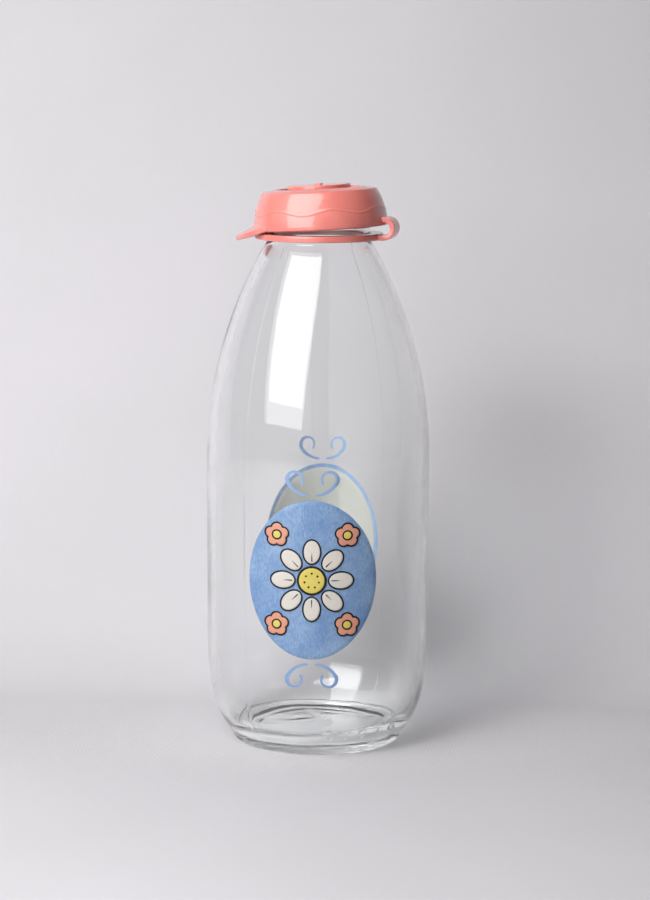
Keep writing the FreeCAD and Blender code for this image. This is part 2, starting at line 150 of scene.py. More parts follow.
class Outline:
    """A cross-section drawn from lines and arcs, as points close enough to look smooth."""

    def __init__(self, start: Point2, step: float) -> None:
        """Start an outline.

        Args:
            start: First point.
            step: Longest distance between points along it.
        """
        self.points: list[Point2] = [start]
        self.step = step

    def line(self, end: Point2) -> None:
        """Draw a straight run.

        Args:
            end: Where the run ends.
        """
        start = self.points[-1]
        count = max(1, math.ceil(math.dist(start, end) / self.step))
        for index in range(1, count + 1):
            self.points.append(between(start, end, index / count))

    def arc(self, centre: Point2, radius: float, begin: float, end: float, finest: int = ARC_POINTS) -> None:
        """Draw an arc.

        Args:
            centre: Centre of the arc.
            radius: Radius of the arc.
            begin: Angle where it begins, in radians.
            end: Angle where it ends, in radians.
            finest: Fewest points on it.
        """
        count = max(finest, math.ceil(abs(end - begin) * radius / self.step))
        for index in range(1, count + 1):
            self.points.append(about(centre, radius, begin + (end - begin) * index / count))

    def corner(self, corner: Point2, end: Point2, radius: float) -> None:
        """Draw to end past a rounded corner.

        Args:
            corner: The sharp corner.
            end: Where the run after the corner ends.
            radius: Radius of the rounding.
        """
        start = Vector(self.points[-1])
        tip = Vector(corner)
        toward = (start - tip).normalized()
        away = (Vector(end) - tip).normalized()
        half = toward.angle(away) / 2
        reach = radius / math.tan(half)
        first = tip + toward * reach
        last = tip + away * reach
        self.line((first.x, first.y))
        count = max(ARC_POINTS, math.ceil((math.pi - 2 * half) * radius / self.step))
        centre = tip + (toward + away).normalized() * (radius / math.sin(half))
        for index in range(1, count + 1):
            chord = first.lerp(last, index / count) - centre
            place = centre + chord.normalized() * radius
            self.points.append((place.x, place.y))
        self.line(end)


def mesh_piece(
    name: str, vertices: Sequence[Vector], faces: Sequence[tuple[int, ...]], crease: float
) -> Piece:
    """Make a piece from vertices and faces.

    Args:
        name: Name of the piece.
        vertices: Places of its corners.
        faces: Corner numbers of each face.
        crease: Angle in degrees past which an edge stays sharp.

    Returns:
        The new piece, smooth, facing outward and linked to the scene.
    """
    mesh = bpy.data.meshes.new(name)
    mesh.from_pydata([tuple(vertex) for vertex in vertices], [], faces)
    shape = bmesh.new()
    shape.from_mesh(mesh)
    bmesh.ops.recalc_face_normals(shape, faces=shape.faces)
    shape.to_mesh(mesh)
    shape.free()
    mesh.shade_smooth()
    mesh.set_sharp_from_angle(angle=math.radians(crease))
    piece = bpy.data.objects.new(name, mesh)
    bpy.context.scene.collection.objects.link(piece)
    return piece


def loft(name: str, rings: Sequence[Ring], crease: float, closed: bool = False) -> Piece:
    """Skin a mesh over rings of points.

    Args:
        name: Name of the piece.
        rings: Rings with as many points each, or single points where the skin closes.
        crease: Angle in degrees past which an edge stays sharp.
        closed: Whether the last ring joins the first.

    Returns:
        The new piece, smooth and facing outward.
    """
    vertices: list[Vector] = []
    starts: list[int] = []
    for ring in rings:
        starts.append(len(vertices))
        vertices.extend(ring)
    faces: list[tuple[int, ...]] = []
    joins = list(zip(range(len(rings) - 1), range(1, len(rings))))
    if closed:
        joins.append((len(rings) - 1, 0))
    for lower, upper in joins:
        a, b = starts[lower], starts[upper]
        count = max(len(rings[lower]), len(rings[upper]))
        for index in range(count):
            following = (index + 1) % count
            if len(rings[lower]) == 1:
                faces.append((a, b + following, b + index))
            elif len(rings[upper]) == 1:
                faces.append((a + index, a + following, b))
            else:
                faces.append((a + index, a + following, b + following, b + index))
    return mesh_piece(name, vertices, faces, crease)


def join_pieces(name: str, pieces: Sequence[Piece]) -> Piece:
    """Join several meshes into one piece.

    Args:
        name: Name of the joined piece.
        pieces: Meshes to join, which are used up.

    Returns:
        The joined piece.
    """
    shape = bmesh.new()
    for piece in pieces:
        shape.from_mesh(piece.data)
    mesh = bpy.data.meshes.new(name)
    shape.to_mesh(mesh)
    shape.free()
    for piece in pieces:
        old = piece.data
        bpy.data.objects.remove(piece)
        bpy.data.meshes.remove(old)
    joined = bpy.data.objects.new(name, mesh)
    bpy.context.scene.collection.objects.link(joined)
    return joined


class NodeSheet:
    """Short way to write a node tree."""

    def __init__(self, tree: bpy.types.NodeTree) -> None:
        """Hold the tree that nodes go into."""
        self.tree = tree

    def add(self, kind: str, settings: dict | None = None, **inputs: Value) -> Node:
        """Add a node.

        Args:
            kind: Blender's name for the kind of node, without the word ShaderNode.
            settings: Properties of the node.
            inputs: Values or sockets for its inputs, with spaces as underscores.

        Returns:
            The new node.
        """
        node = self.tree.nodes.new("ShaderNode" + kind)
        for name, value in (settings or {}).items():
            setattr(node, name, value)
        self.feed(node, {name.replace("_", " "): value for name, value in inputs.items()})
        return node

    def feed(self, node: Node, inputs: dict[str | int, Value]) -> None:
        """Set or link inputs of a node.

        Args:
            node: The node.
            inputs: Value or socket for each input, by its name or number. Colours are made opaque.
        """
        for name, value in inputs.items():
            socket = node.inputs[name]
            if isinstance(value, bpy.types.NodeSocket):
                self.tree.links.new(value, socket)
            else:
                socket.default_value = (*value, 1) if socket.type == "RGBA" else value

    def arithmetic(self, operation: str, *values: Value) -> Socket:
        """Work out one step of arithmetic.

        Args:
            operation: Blender's name for the step.
            values: Values or sockets that it takes.

        Returns:
            The socket with the result.
        """
        node = self.add("Math", {"operation": operation})
        self.feed(node, dict(enumerate(values)))
        return node.outputs[0]

    def mix(self, share: Socket, first: Value, second: Value) -> Socket:
        """Mix two colours.

        Args:
            share: Share of the second.
            first: Colour where the share is 0.
            second: Colour where the share is 1.

        Returns:
            The socket with the mixed colour.
        """
        node = self.add("Mix", {"data_type": "RGBA"})
        self.feed(node, {0: share, 6: first, 7: second})
        return node.outputs[2]

    def weigh(self, share: Socket, first: Value, second: Value) -> Socket:
        """Mix two values by a share of the second."""
        return self.add("Mix", {"data_type": "FLOAT"}, Factor=share, A=first, B=second).outputs["Result"]

    def span(self, value: Socket, start: Point2, end: Point2 = (0.0, 1.0), ease: bool = False) -> Socket:
        """Carry a value from one span to another.

        Args:
            value: The value.
            start: Span that it comes from.
            end: Span that it goes to.
            ease: Whether it eases in and out.

        Returns:
            The socket with the new value.
        """
        kind = {"interpolation_type": "SMOOTHSTEP" if ease else "LINEAR"}
        node = self.add("MapRange", kind, Value=value, From_Min=start[0], From_Max=start[1])
        self.feed(node, {"To Min": end[0], "To Max": end[1]})
        return node.outputs[0]

    def place(self) -> Socket:
        """The place on the piece."""
        return self.add("TexCoord").outputs["Object"]

    def part(self, vector: Socket, axis: str) -> Socket:
        """One coordinate of a vector."""
        return self.add("SeparateXYZ", Vector=vector).outputs[axis]

    def noise(self, place: Socket, scale: Socket, detail: float) -> Socket:
        """Smooth noise at a place."""
        return self.add("TexNoise", Vector=place, Scale=scale, Detail=detail).outputs["Fac"]

    def bump(self, shader: Node, height: Socket, depth: float) -> None:
        """Press a height into a shader's normal, depth metres deep."""
        pressed = self.add("Bump", Strength=1.0, Distance=depth, Height=height)
        self.feed(shader, {"Normal": pressed.outputs["Normal"]})

    def show(self, output: Node, share: Socket, first: Node, second: Node) -> None:
        """Put out two shaders, mixed by a share of the second.

        Args:
            output: The material's output node.
            share: Share of the second.
            first: Shader where the share is 0.
            second: Shader where the share is 1.
        """
        node = self.add("MixShader")
        self.feed(node, {0: share, 1: first.outputs["BSDF"], 2: second.outputs["BSDF"]})
        self.feed(output, {"Surface": node.outputs["Shader"]})


@dataclass(frozen=True)
class Effect:
    """A surface effect that finishes share: a node group with an input for each of its sizes."""

    group_name: ClassVar[str] = ""
    results: ClassVar[tuple[str, ...]] = ()

    def write(self, sheet: NodeSheet, given: dict[str, Socket]) -> dict[str, Socket]:
        """Write the group's nodes, which each effect does in its own way.

        Args:
            sheet: The group's sheet.
            given: Sockets of its inputs, by name.

        Returns:
            Sockets of its results, by name.
        """
        raise NotImplementedError

    def group(self) -> bpy.types.NodeTree:
        """Build the node group.

        Returns:
            The group, which puts out values only.
        """
        tree = bpy.data.node_groups.new(self.group_name, "ShaderNodeTree")
        for names, way in ((asdict(self), "INPUT"), (self.results, "OUTPUT")):
            for name in names:
                tree.interface.new_socket(name, in_out=way, socket_type="NodeSocketFloat")
        given = tree.nodes.new("NodeGroupInput").outputs
        result = tree.nodes.new("NodeGroupOutput")
        sheet = NodeSheet(tree)
        sheet.feed(result, self.write(sheet, {name: given[name] for name in asdict(self)}))
        return tree

    def place(self, sheet: NodeSheet) -> dict[str, Socket]:
        """Place the effect in a material. Its group is built at its first use.

        Args:
            sheet: The material's sheet.

        Returns:
            Sockets of its results, by name.
        """
        group = bpy.data.node_groups.get(self.group_name) or self.group()
        node = sheet.add("Group", {"node_tree": group})
        sheet.feed(node, asdict(self))
        return {name: node.outputs[name] for name in self.results}


@dataclass(frozen=True)
class Ripple(Effect):
    """Height of slow waves with a finer skin over them."""

    wave_scale: float
    skin_scale: float
    skin_share: float
    group_name: ClassVar[str] = "surface_ripple"
    results: ClassVar[tuple[str, ...]] = ("height",)
    wave_detail: ClassVar[float] = 1.0
    skin_detail: ClassVar[float] = 2.0

    def write(self, sheet: NodeSheet, given: dict[str, Socket]) -> dict[str, Socket]:
        """Write the group's nodes.

        Args:
            sheet: The group's sheet.
            given: Sockets of its inputs, by name.

        Returns:
            The socket of the height.
        """
        place = sheet.place()
        waves = sheet.noise(place, given["wave_scale"], self.wave_detail)
        skin = sheet.noise(place, given["skin_scale"], self.skin_detail)
        share = sheet.arithmetic("MULTIPLY", skin, given["skin_share"])
        return {"height": sheet.arithmetic("ADD", waves, share)}


@dataclass(frozen=True)
class Tone(Effect):
    """Share of a second tone, from slow clouds and fine upright grain, and share of rare specks."""

    cloud_scale: float
    grain_scale: float
    grain_share: float
    speck_scale: float
    speck_share: float
    group_name: ClassVar[str] = "tone_variation"
    results: ClassVar[tuple[str, ...]] = ("tone", "specks")
    cloud_detail: ClassVar[float] = 3.0
    grain_detail: ClassVar[float] = 1.0
    grain_stretch: ClassVar[tuple[float, float, float]] = (1.0, 1.0, 0.3)
    tone_span: ClassVar[Point2] = (0.34, 0.68)
    speck_span: ClassVar[Point2] = (0.16, 0.08)
    speckled_span: ClassVar[Point2] = (0.5, 0.62)

    def write(self, sheet: NodeSheet, given: dict[str, Socket]) -> dict[str, Socket]:
        """Write the group's nodes.

        Args:
            sheet: The group's sheet.
            given: Sockets of its inputs, by name.

        Returns:
            The sockets of tone and specks.
        """
        place = sheet.place()
        clouds = sheet.noise(place, given["cloud_scale"], self.cloud_detail)
        drawn = sheet.add("Mapping", Vector=place, Scale=self.grain_stretch).outputs[0]
        grain = sheet.noise(drawn, given["grain_scale"], self.grain_detail)
        mixed = sheet.weigh(given["grain_share"], clouds, grain)
        specks = sheet.add("TexVoronoi", Vector=place, Scale=given["speck_scale"]).outputs["Distance"]
        near, patches = sheet.span(specks, self.speck_span), sheet.span(clouds, self.speckled_span)
        held = sheet.arithmetic("MULTIPLY", near, patches)
        return {
            "tone": sheet.span(mixed, self.tone_span, ease=True),
            "specks": sheet.arithmetic("MULTIPLY", held, given["speck_share"]),
        }


def new_material(name: str) -> tuple[bpy.types.Material, NodeSheet, Node, Node]:
    """Start a material.

    Args:
        name: Name of the material.

    Returns:
        The material, its sheet, its Principled node and its output node.
    """
    material = bpy.data.materials.new(name)
    material.use_nodes = True
    nodes = {node.type: node for node in material.node_tree.nodes}
    return material, NodeSheet(material.node_tree), nodes["BSDF_PRINCIPLED"], nodes["OUTPUT_MATERIAL"]


@dataclass(frozen=True)
class BlownGlass:
    """Clear soda glass, faintly green where it is thick."""

    name: str = "blown_glass"
    slot: str = "clear_glass"
    colour: Colour = (0.985, 0.992, 0.99)
    tint: Colour = (0.73, 0.765, 0.745)
    tint_density: float = 12.0
    index: float = 1.5
    waves: Ripple = Ripple(wave_scale=34.0, skin_scale=160.0, skin_share=0.12)
    wave_depth: float = 0.00012
    shadow_clear: Colour = (0.82, 0.826, 0.823)
    shadow_edge: Colour = (0.2, 0.21, 0.208)
    shadow_base: Colour = (0.97, 0.975, 0.972)
    slant_blend: float = 0.5
    edge_span: Point2 = (0.3, 1.0)
    base_span: Point2 = (0.0, 0.018)

    def make(self) -> bpy.types.Material:
        """Make the material. Its shadow is pale, darker at the edges and clear under the base.

        Returns:
            The material.
        """
        material, sheet, shader, output = new_material(self.name)
        sheet.feed(shader, {
            "Base Color": self.colour, "Transmission Weight": 1.0, "Roughness": 0.0, "IOR": self.index,
        })
        sheet.bump(shader, self.waves.place(sheet)["height"], self.wave_depth)
        depth = sheet.add("VolumeAbsorption", Color=self.tint, Density=self.tint_density)
        sheet.feed(output, {"Volume": depth.outputs["Volume"]})
        slant = sheet.add("LayerWeight", Blend=self.slant_blend).outputs["Facing"]
        shade = sheet.mix(sheet.span(slant, self.edge_span, ease=True), self.shadow_clear, self.shadow_edge)
        low = sheet.span(sheet.part(sheet.place(), "Z"), self.base_span, (1.0, 0.0), ease=True)
        passed = sheet.add("BsdfTransparent", Color=sheet.mix(low, shade, self.shadow_base))
        sheet.show(output, sheet.add("LightPath").outputs["Is Shadow Ray"], shader, passed)
        return material


@dataclass(frozen=True)
class SoftPlastic:
    """Satin moulded plastic that lets a little light into its skin."""

    name: str = "coral_cap_plastic"
    slot: str = "coral_plastic"
    colour: Colour = srgb(222, 122, 113)
    flow_colour: Colour = srgb(227, 132, 122)
    flow: Tone = Tone(
        cloud_scale=90.0, grain_scale=2600.0, grain_share=0.25, speck_scale=420.0, speck_share=0.4,
    )
    satin: Point2 = (0.42, 0.53)
    sheen_level: float = 0.8
    index: float = 1.5
    gloss: float = 1.0
    gloss_index: float = 1.7
    gloss_roughness: float = 0.11
    glow: float = 0.3
    glow_radius: tuple[float, float, float] = (1.0, 0.35, 0.3)
    glow_depth: float = 0.0016
    peel: Ripple = Ripple(wave_scale=130.0, skin_scale=1500.0, skin_share=0.12)
    peel_depth: float = 0.00008

    def make(self) -> bpy.types.Material:
        """Make the material.

        Returns:
            The material.
        """
        material, sheet, shader, _ = new_material(self.name)
        tone = self.flow.place(sheet)["tone"]
        sheet.feed(shader, {
            "Base Color": sheet.mix(tone, self.colour, self.flow_colour),
            "Roughness": sheet.span(tone, (0.0, 1.0), self.satin),
            "Specular IOR Level": self.sheen_level,
            "IOR": self.index,
            "Coat Weight": self.gloss,
            "Coat IOR": self.gloss_index,
            "Coat Roughness": self.gloss_roughness,
            "Subsurface Weight": self.glow,
            "Subsurface Radius": self.glow_radius,
            "Subsurface Scale": self.glow_depth,
        })
        sheet.bump(shader, self.peel.place(sheet)["height"], self.peel_depth)
        return material


@dataclass(frozen=True)
class PrintInk:
    """Screen-printed ink, a little uneven and speckled with pinholes."""

    name: str
    slot: str
    colour: Display
    thin_colour: Display
    speck_colour: Display
    unevenness: float = 0.6
    cover: Tone = Tone(
        cloud_scale=70.0, grain_scale=2200.0, grain_share=0.45, speck_scale=900.0, speck_share=0.5,
    )
    dullness: Point2 = (0.38, 0.5)
    grain: Ripple = Ripple(wave_scale=500.0, skin_scale=2400.0, skin_share=0.4)
    grain_depth: float = 0.00002

    def make(self) -> bpy.types.Material:
        """Make the material.

        Returns:
            The material.
        """
        material, sheet, shader, _ = new_material(self.name)
        cover = self.cover.place(sheet)
        share = sheet.arithmetic("MULTIPLY", cover["tone"], self.unevenness)
        thin = sheet.mix(share, srgb(*self.colour), srgb(*self.thin_colour))
        sheet.feed(shader, {
            "Base Color": sheet.mix(cover["specks"], thin, srgb(*self.speck_colour)),
            "Roughness": sheet.span(cover["tone"], (0.0, 1.0), self.dullness),
        })
        sheet.bump(shader, self.grain.place(sheet)["height"], self.grain_depth)
        return material


class Ink(Enum):
    """The inks of the print."""

    WHITE = PrintInk("white_print", "white_ink", (206, 201, 192), (197, 192, 184), (176, 175, 170))
    # The backing's grey is partly the own grey of a thin white layer over colour and partly painted shade,
    # for the inner face of the back print, which the glass and the front print shade.
    BACKING = PrintInk("backing_print_with_painted_shade", "white_ink", (178, 178, 173), (168, 165, 154), (190, 180, 160))
    BLUE = PrintInk("blue_print", "blue_ink", (98, 131, 175), (142, 167, 196), (176, 192, 212), 0.85)
    PINK = PrintInk("pink_print", "pink_ink", (204, 140, 116), (209, 152, 129), (218, 178, 162))
    YELLOW = PrintInk("yellow_print", "yellow_ink", (204, 185, 84), (208, 194, 109), (216, 206, 150))
    DARK = PrintInk("dark_print", "dark_ink", (8, 8, 11), (16, 16, 21), (58, 62, 72))
    SCROLL = PrintInk("scroll_print", "light_blue_ink", (124, 153, 195), (138, 164, 201), (172, 189, 212))


class Finishes:
    """Makes each finish once and gives it to pieces."""

    def __init__(self) -> None:
        """Start with no finish made."""
        self.made: dict[str, bpy.types.Material] = {}

    def dress(self, piece: Piece, finish: BlownGlass | SoftPlastic | PrintInk) -> None:
        """Give a piece a finish and report the piece.

        Args:
            piece: The piece to dress.
            finish: The finish that it gets.
        """
        if finish.name not in self.made:
            self.made[finish.name] = finish.make()
        piece.data.materials.clear()
        piece.data.materials.append(self.made[finish.name])
        log.info("%s: %d faces", piece.name, len(piece.data.polygons))


@dataclass
class GlassBottle:
    """The blown bottle: punt, foot, heel, straight body, one-arc shoulder and bead lip.

    A wave of the wall is written as its count round the bottle, its climb, its phase and its share.
    """

    body_radius: float = 47.0 * MM
    height: float = 229.7 * MM
    finish_height: float = 17.66 * MM
    shoulder_radius: float = 176.6 * MM
    heel_start: float = 47.5 * MM
    heel_blend_radius: float = 206.0 * MM
    heel_blend_turn: float = math.radians(6.7)
    heel_radius: float = 40.0 * MM
    foot_height: float = 2.6 * MM
    foot_step: float = 0.7 * MM
    foot_round: float = 1.0 * MM
    ledge_round: float = 0.15 * MM
    bearing_width: float = 4.0 * MM
    punt_depth: float = 2.0 * MM
    punt_edge: float = 8.0 * MM
    wall: float = 3.0 * MM
    base_thickness: float = 4.0 * MM
    floor_corner: float = 17.0 * MM
    bore_radius: float = 19.0 * MM
    neck_wall: float = 2.3 * MM
    lip_step: float = 1.1 * MM
    lip_depth: float = 10.0 * MM
    lip_round: float = 1.5 * MM
    step: float = 2.0 * MM
    round_points: int = 6
    floor_points: int = 10
    columns: int = 160
    angle_digits: int = 6
    crease: float = 50.0
    seam_angles: tuple[float, ...] = (math.radians(-36.5), math.radians(143.5))
    seam_width: float = 0.5 * MM
    seam_rise: float = 0.12 * MM
    marks: int = 5
    mark_first: float = math.radians(9.0)
    mark_pitch: float = math.radians(10.5)
    mark_height: float = 10.0 * MM
    mark_reach: float = 2.4 * MM
    mark_radius: float = 1.6 * MM
    mark_line: float = 0.55 * MM
    mark_rise: float = 0.55 * MM
    mark_step: float = 0.3 * MM
    mark_columns: float = math.radians(0.5)
    heavy_azimuth: float = math.radians(-60.0)
    heavy_spread: float = math.radians(20.0)
    heavy_height: float = 12.0 * MM
    heavy_reach: float = 7.0 * MM
    heavy_depth: float = 0.9 * MM
    wall_drift: float = 0.28 * MM
    slow_waves: tuple[tuple[float, ...], ...] = ((2, 14.0, 0.6, 1.0), (3, -22.0, -1.1, 0.6))
    fine_waves: tuple[tuple[float, ...], ...] = ((7, 60.0, 0.0, 0.25), (11, -45.0, 0.0, 0.15))
    slow_share: float = 0.45
    upper_share: float = 0.5
    floor_share: float = 1.6
    piece: Piece | None = field(default=None, init=False)

    def __post_init__(self) -> None:
        """Work out the centres that the outline turns about."""
        self.neck_radius = self.bore_radius + self.neck_wall
        self.lip_radius = self.neck_radius + self.lip_step
        self.neck_start = self.height - self.finish_height
        self.neck_angle = math.acos(1 - (self.body_radius - self.neck_radius) / self.shoulder_radius)
        self.shoulder_start = self.neck_start - self.shoulder_radius * math.sin(self.neck_angle)
        self.shoulder_centre = (self.body_radius - self.shoulder_radius, self.shoulder_start)
        self.blend_centre = (self.body_radius - self.heel_blend_radius, self.heel_start)
        heel_away = self.heel_blend_radius - self.heel_radius
        self.heel_centre = about(self.blend_centre, heel_away, -self.heel_blend_turn)
        self.heel_zone = 2 * self.heel_start
        self.seam_start = 2 * self.foot_height
        self.ledge_angle = self.heel_angle(self.foot_height)
        self.ledge_radius = self.heel_centre[0] + self.heel_radius * math.cos(self.ledge_angle)
        self.foot_radius = self.ledge_radius - self.foot_step
        self.bearing_inner = self.foot_radius - self.foot_round - self.bearing_width
        self.punt_radius = (self.bearing_inner ** 2 + self.punt_depth ** 2) / (2 * self.punt_depth)
        self.punt_centre = (0.0, self.punt_depth - self.punt_radius)

    def heel_angle(self, height: float) -> float:
        """Angle on the heel's arc at a height."""
        return math.asin((height - self.heel_centre[1]) / self.heel_radius)

    def outer_radius(self, height: float) -> float:
        """Radius of the outside.

        Args:
            height: A height between the heel and the neck.

        Returns:
            The radius there.
        """
        if height > self.shoulder_start:
            centre, radius = self.shoulder_centre, self.shoulder_radius
        elif height < self.heel_start:
            centre, radius = self.blend_centre, self.heel_blend_radius
        else:
            return self.body_radius
        return centre[0] + math.sqrt(radius ** 2 - (height - centre[1]) ** 2)

    def outside(self) -> list[Point2]:
        """Draw the outside, from the punt's middle to the lip's outer edge.

        Returns:
            Radius and height of each point.
        """
        bearing_outer = self.foot_radius - self.foot_round
        edge = self.punt_edge * math.tan(math.asin(self.bearing_inner / self.punt_radius) / 2)
        punt_half = math.asin((self.bearing_inner - edge) / self.punt_radius)
        outline = Outline((0.0, self.punt_depth), self.step)
        outline.arc(self.punt_centre, self.punt_radius, QUARTER, QUARTER - punt_half)
        outline.corner((self.bearing_inner, 0.0), (bearing_outer, 0.0), self.punt_edge)
        outline.arc((bearing_outer, self.foot_round), self.foot_round, -QUARTER, 0.0, self.round_points)
        ledge = (self.ledge_radius, self.foot_height)
        outline.corner((self.foot_radius, self.foot_height), ledge, self.ledge_round)
        low, high = (self.heel_angle(self.mark_height + side * self.mark_reach) for side in (-1, 1))
        outline.arc(self.heel_centre, self.heel_radius, self.ledge_angle, low)
        outline.step = self.mark_step
        outline.arc(self.heel_centre, self.heel_radius, low, high)
        outline.step = self.step
        outline.arc(self.heel_centre, self.heel_radius, high, -self.heel_blend_turn)
        outline.arc(self.blend_centre, self.heel_blend_radius, -self.heel_blend_turn, 0.0)
        outline.line((self.body_radius, self.shoulder_start))
        outline.arc(self.shoulder_centre, self.shoulder_radius, 0.0, self.neck_angle)
        lip_bottom, lip_edge = self.height - self.lip_depth, self.height - self.lip_round
        outline.line((self.neck_radius, lip_bottom - self.lip_step))
        outline.line((self.lip_radius, lip_bottom))
        outline.line((self.lip_radius, lip_edge))
        lip_centre = (self.lip_radius - self.lip_round, lip_edge)
        outline.arc(lip_centre, self.lip_round, 0.0, QUARTER, self.round_points)
        return outline.points

    def inside(self) -> list[Point2]:
        """Draw the inside, from the lip's inner edge to the middle of the floor.

        Returns:
            Radius and height of each point.
        """
        inner = self.body_radius - self.wall
        shoulder = self.shoulder_radius - self.wall
        bore_angle = math.acos(1 - (inner - self.bore_radius) / shoulder)
        lip = self.bore_radius + self.lip_round
        outline = Outline((lip, self.height), self.step)
        outline.arc((lip, self.height - self.lip_round), self.lip_round, QUARTER, math.pi, self.round_points)
        outline.line(about(self.shoulder_centre, shoulder, bore_angle))
        outline.arc(self.shoulder_centre, shoulder, bore_angle, 0.0)
        outline.line((inner, self.heel_start))
        outline.arc(self.blend_centre, self.heel_blend_radius - self.wall, 0.0, -self.heel_blend_turn)
        heel = self.heel_radius - self.wall
        dome = self.punt_radius + self.base_thickness
        fillet = self.floor_corner
        corner = meeting(self.heel_centre, heel - fillet, self.punt_centre, dome + fillet)
        turn = math.atan2(corner[1] - self.heel_centre[1], corner[0] - self.heel_centre[0])
        spread = math.atan2(corner[0] - self.punt_centre[0], corner[1] - self.punt_centre[1])
        outline.arc(self.heel_centre, heel, -self.heel_blend_turn, turn)
        outline.arc(corner, fillet, turn, -QUARTER - spread, self.floor_points)
        outline.arc(self.punt_centre, dome, QUARTER - spread, QUARTER)
        outline.points[-1] = (0.0, outline.points[-1][1])
        return outline.points

    def azimuths(self) -> list[float]:
        """Set out the columns, closer together at seams and heel marks.

        Returns:
            Their angles from the front, in order.
        """
        angles = [angle - math.pi for angle in turns(self.columns)]
        half = self.seam_width / 2 / self.body_radius
        angles += [seam + offset * half for seam in self.seam_angles for offset in range(-2, 3)]
        first = self.mark_first - self.mark_pitch / 2
        count = math.ceil(self.marks * self.mark_pitch / self.mark_columns)
        angles += [first + index * self.mark_columns for index in range(count + 1)]
        return sorted({round(angle, self.angle_digits) for angle in angles})

    def seam(self, azimuth: float, height: float) -> float:
        """Rise of the mould seam.

        Args:
            azimuth: Angle from the front.
            height: Height on the outside.

        Returns:
            How far the seam stands out there.
        """
        if not self.seam_start < height < self.neck_start:
            return 0.0
        nearest = min(abs(azimuth - seam) for seam in self.seam_angles) * self.body_radius
        return self.seam_rise * smooth_step(1 - nearest / self.seam_width)

    def heel_mark(self, azimuth: float, radius: float, height: float) -> float:
        """Rise of the nearest heel mark, a small ring or bar.

        Args:
            azimuth: Angle from the front.
            radius: Radius of the outside there.
            height: Height on the outside.

        Returns:
            How far the mark stands out there.
        """
        number = round((azimuth - self.mark_first) / self.mark_pitch)
        if not (0 <= number < self.marks and self.foot_height < height < self.heel_zone):
            return 0.0
        across = (azimuth - self.mark_first - number * self.mark_pitch) * radius
        up = height - self.mark_height
        if number % 2:
            away = math.hypot(across, max(0.0, abs(up) - self.mark_radius))
        else:
            away = abs(math.hypot(across, up) - self.mark_radius)
        return self.mark_rise * smooth_step(1 - away / self.mark_line)

    def drift(self, azimuth: float, height: float) -> float:
        """Unevenness of the wall inside, as blowing leaves it.

        Args:
            azimuth: Angle from the front.
            height: Height on the inside.

        Returns:
            How far the wall gives way there.
        """
        slow, fine = (
            sum(
                share * math.sin(count * azimuth + phase + climb * height)
                for count, climb, phase, share in waves
            )
            for waves in (self.slow_waves, self.fine_waves)
        )
        heel = smooth_step((self.heel_zone - height) / self.heel_zone)
        neck = smooth_step((self.neck_start - height) / self.heel_start)
        turned = (azimuth - self.heavy_azimuth) / self.heavy_spread
        raised = (height - self.heavy_height) / self.heavy_reach
        heavy = self.heavy_depth * math.exp(-turned ** 2 - raised ** 2)
        waves = self.slow_share * slow * (self.upper_share + heel) + fine * heel
        return self.wall_drift * neck * waves - heavy

    def ring(self, radius: float, height: float, angles: Sequence[float], within: bool) -> Ring:
        """Set out a ring of points on the glass.

        Args:
            radius: Radius of its outline.
            height: Height of its outline.
            angles: Angles of its points from the front.
            within: Whether it is on the inside.

        Returns:
            The ring's points, or one point on the axis.
        """
        if radius < ON_AXIS:
            return [Vector((0, 0, height))]
        spread = smooth_step((height - self.punt_depth - self.base_thickness) / self.floor_corner)
        floor = (1 - spread) * self.floor_share * radius / self.foot_radius
        ring = []
        for angle in angles:
            if within:
                drift = self.drift(angle, height)
                reach, rise = radius + drift * spread, drift * floor
            else:
                reach, rise = radius + self.seam(angle, height) + self.heel_mark(angle, radius, height), 0.0
            ring.append(Vector((reach * math.sin(angle), -reach * math.cos(angle), height + rise)))
        return ring

    def build(self) -> None:
        """Model the glass as one closed skin, outside and inside."""
        angles = self.azimuths()
        rings = [self.ring(radius, height, angles, False) for radius, height in self.outside()]
        rings += [self.ring(radius, height, angles, True) for radius, height in self.inside()]
        self.piece = loft("bottle_glass", rings, self.crease)
        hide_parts("glass_bottle")
        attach(self.piece, "bottle")

    def dress(self, finishes: Finishes) -> None:
        """Give the bottle its glass."""
        finishes.dress(self.piece, BlownGlass())


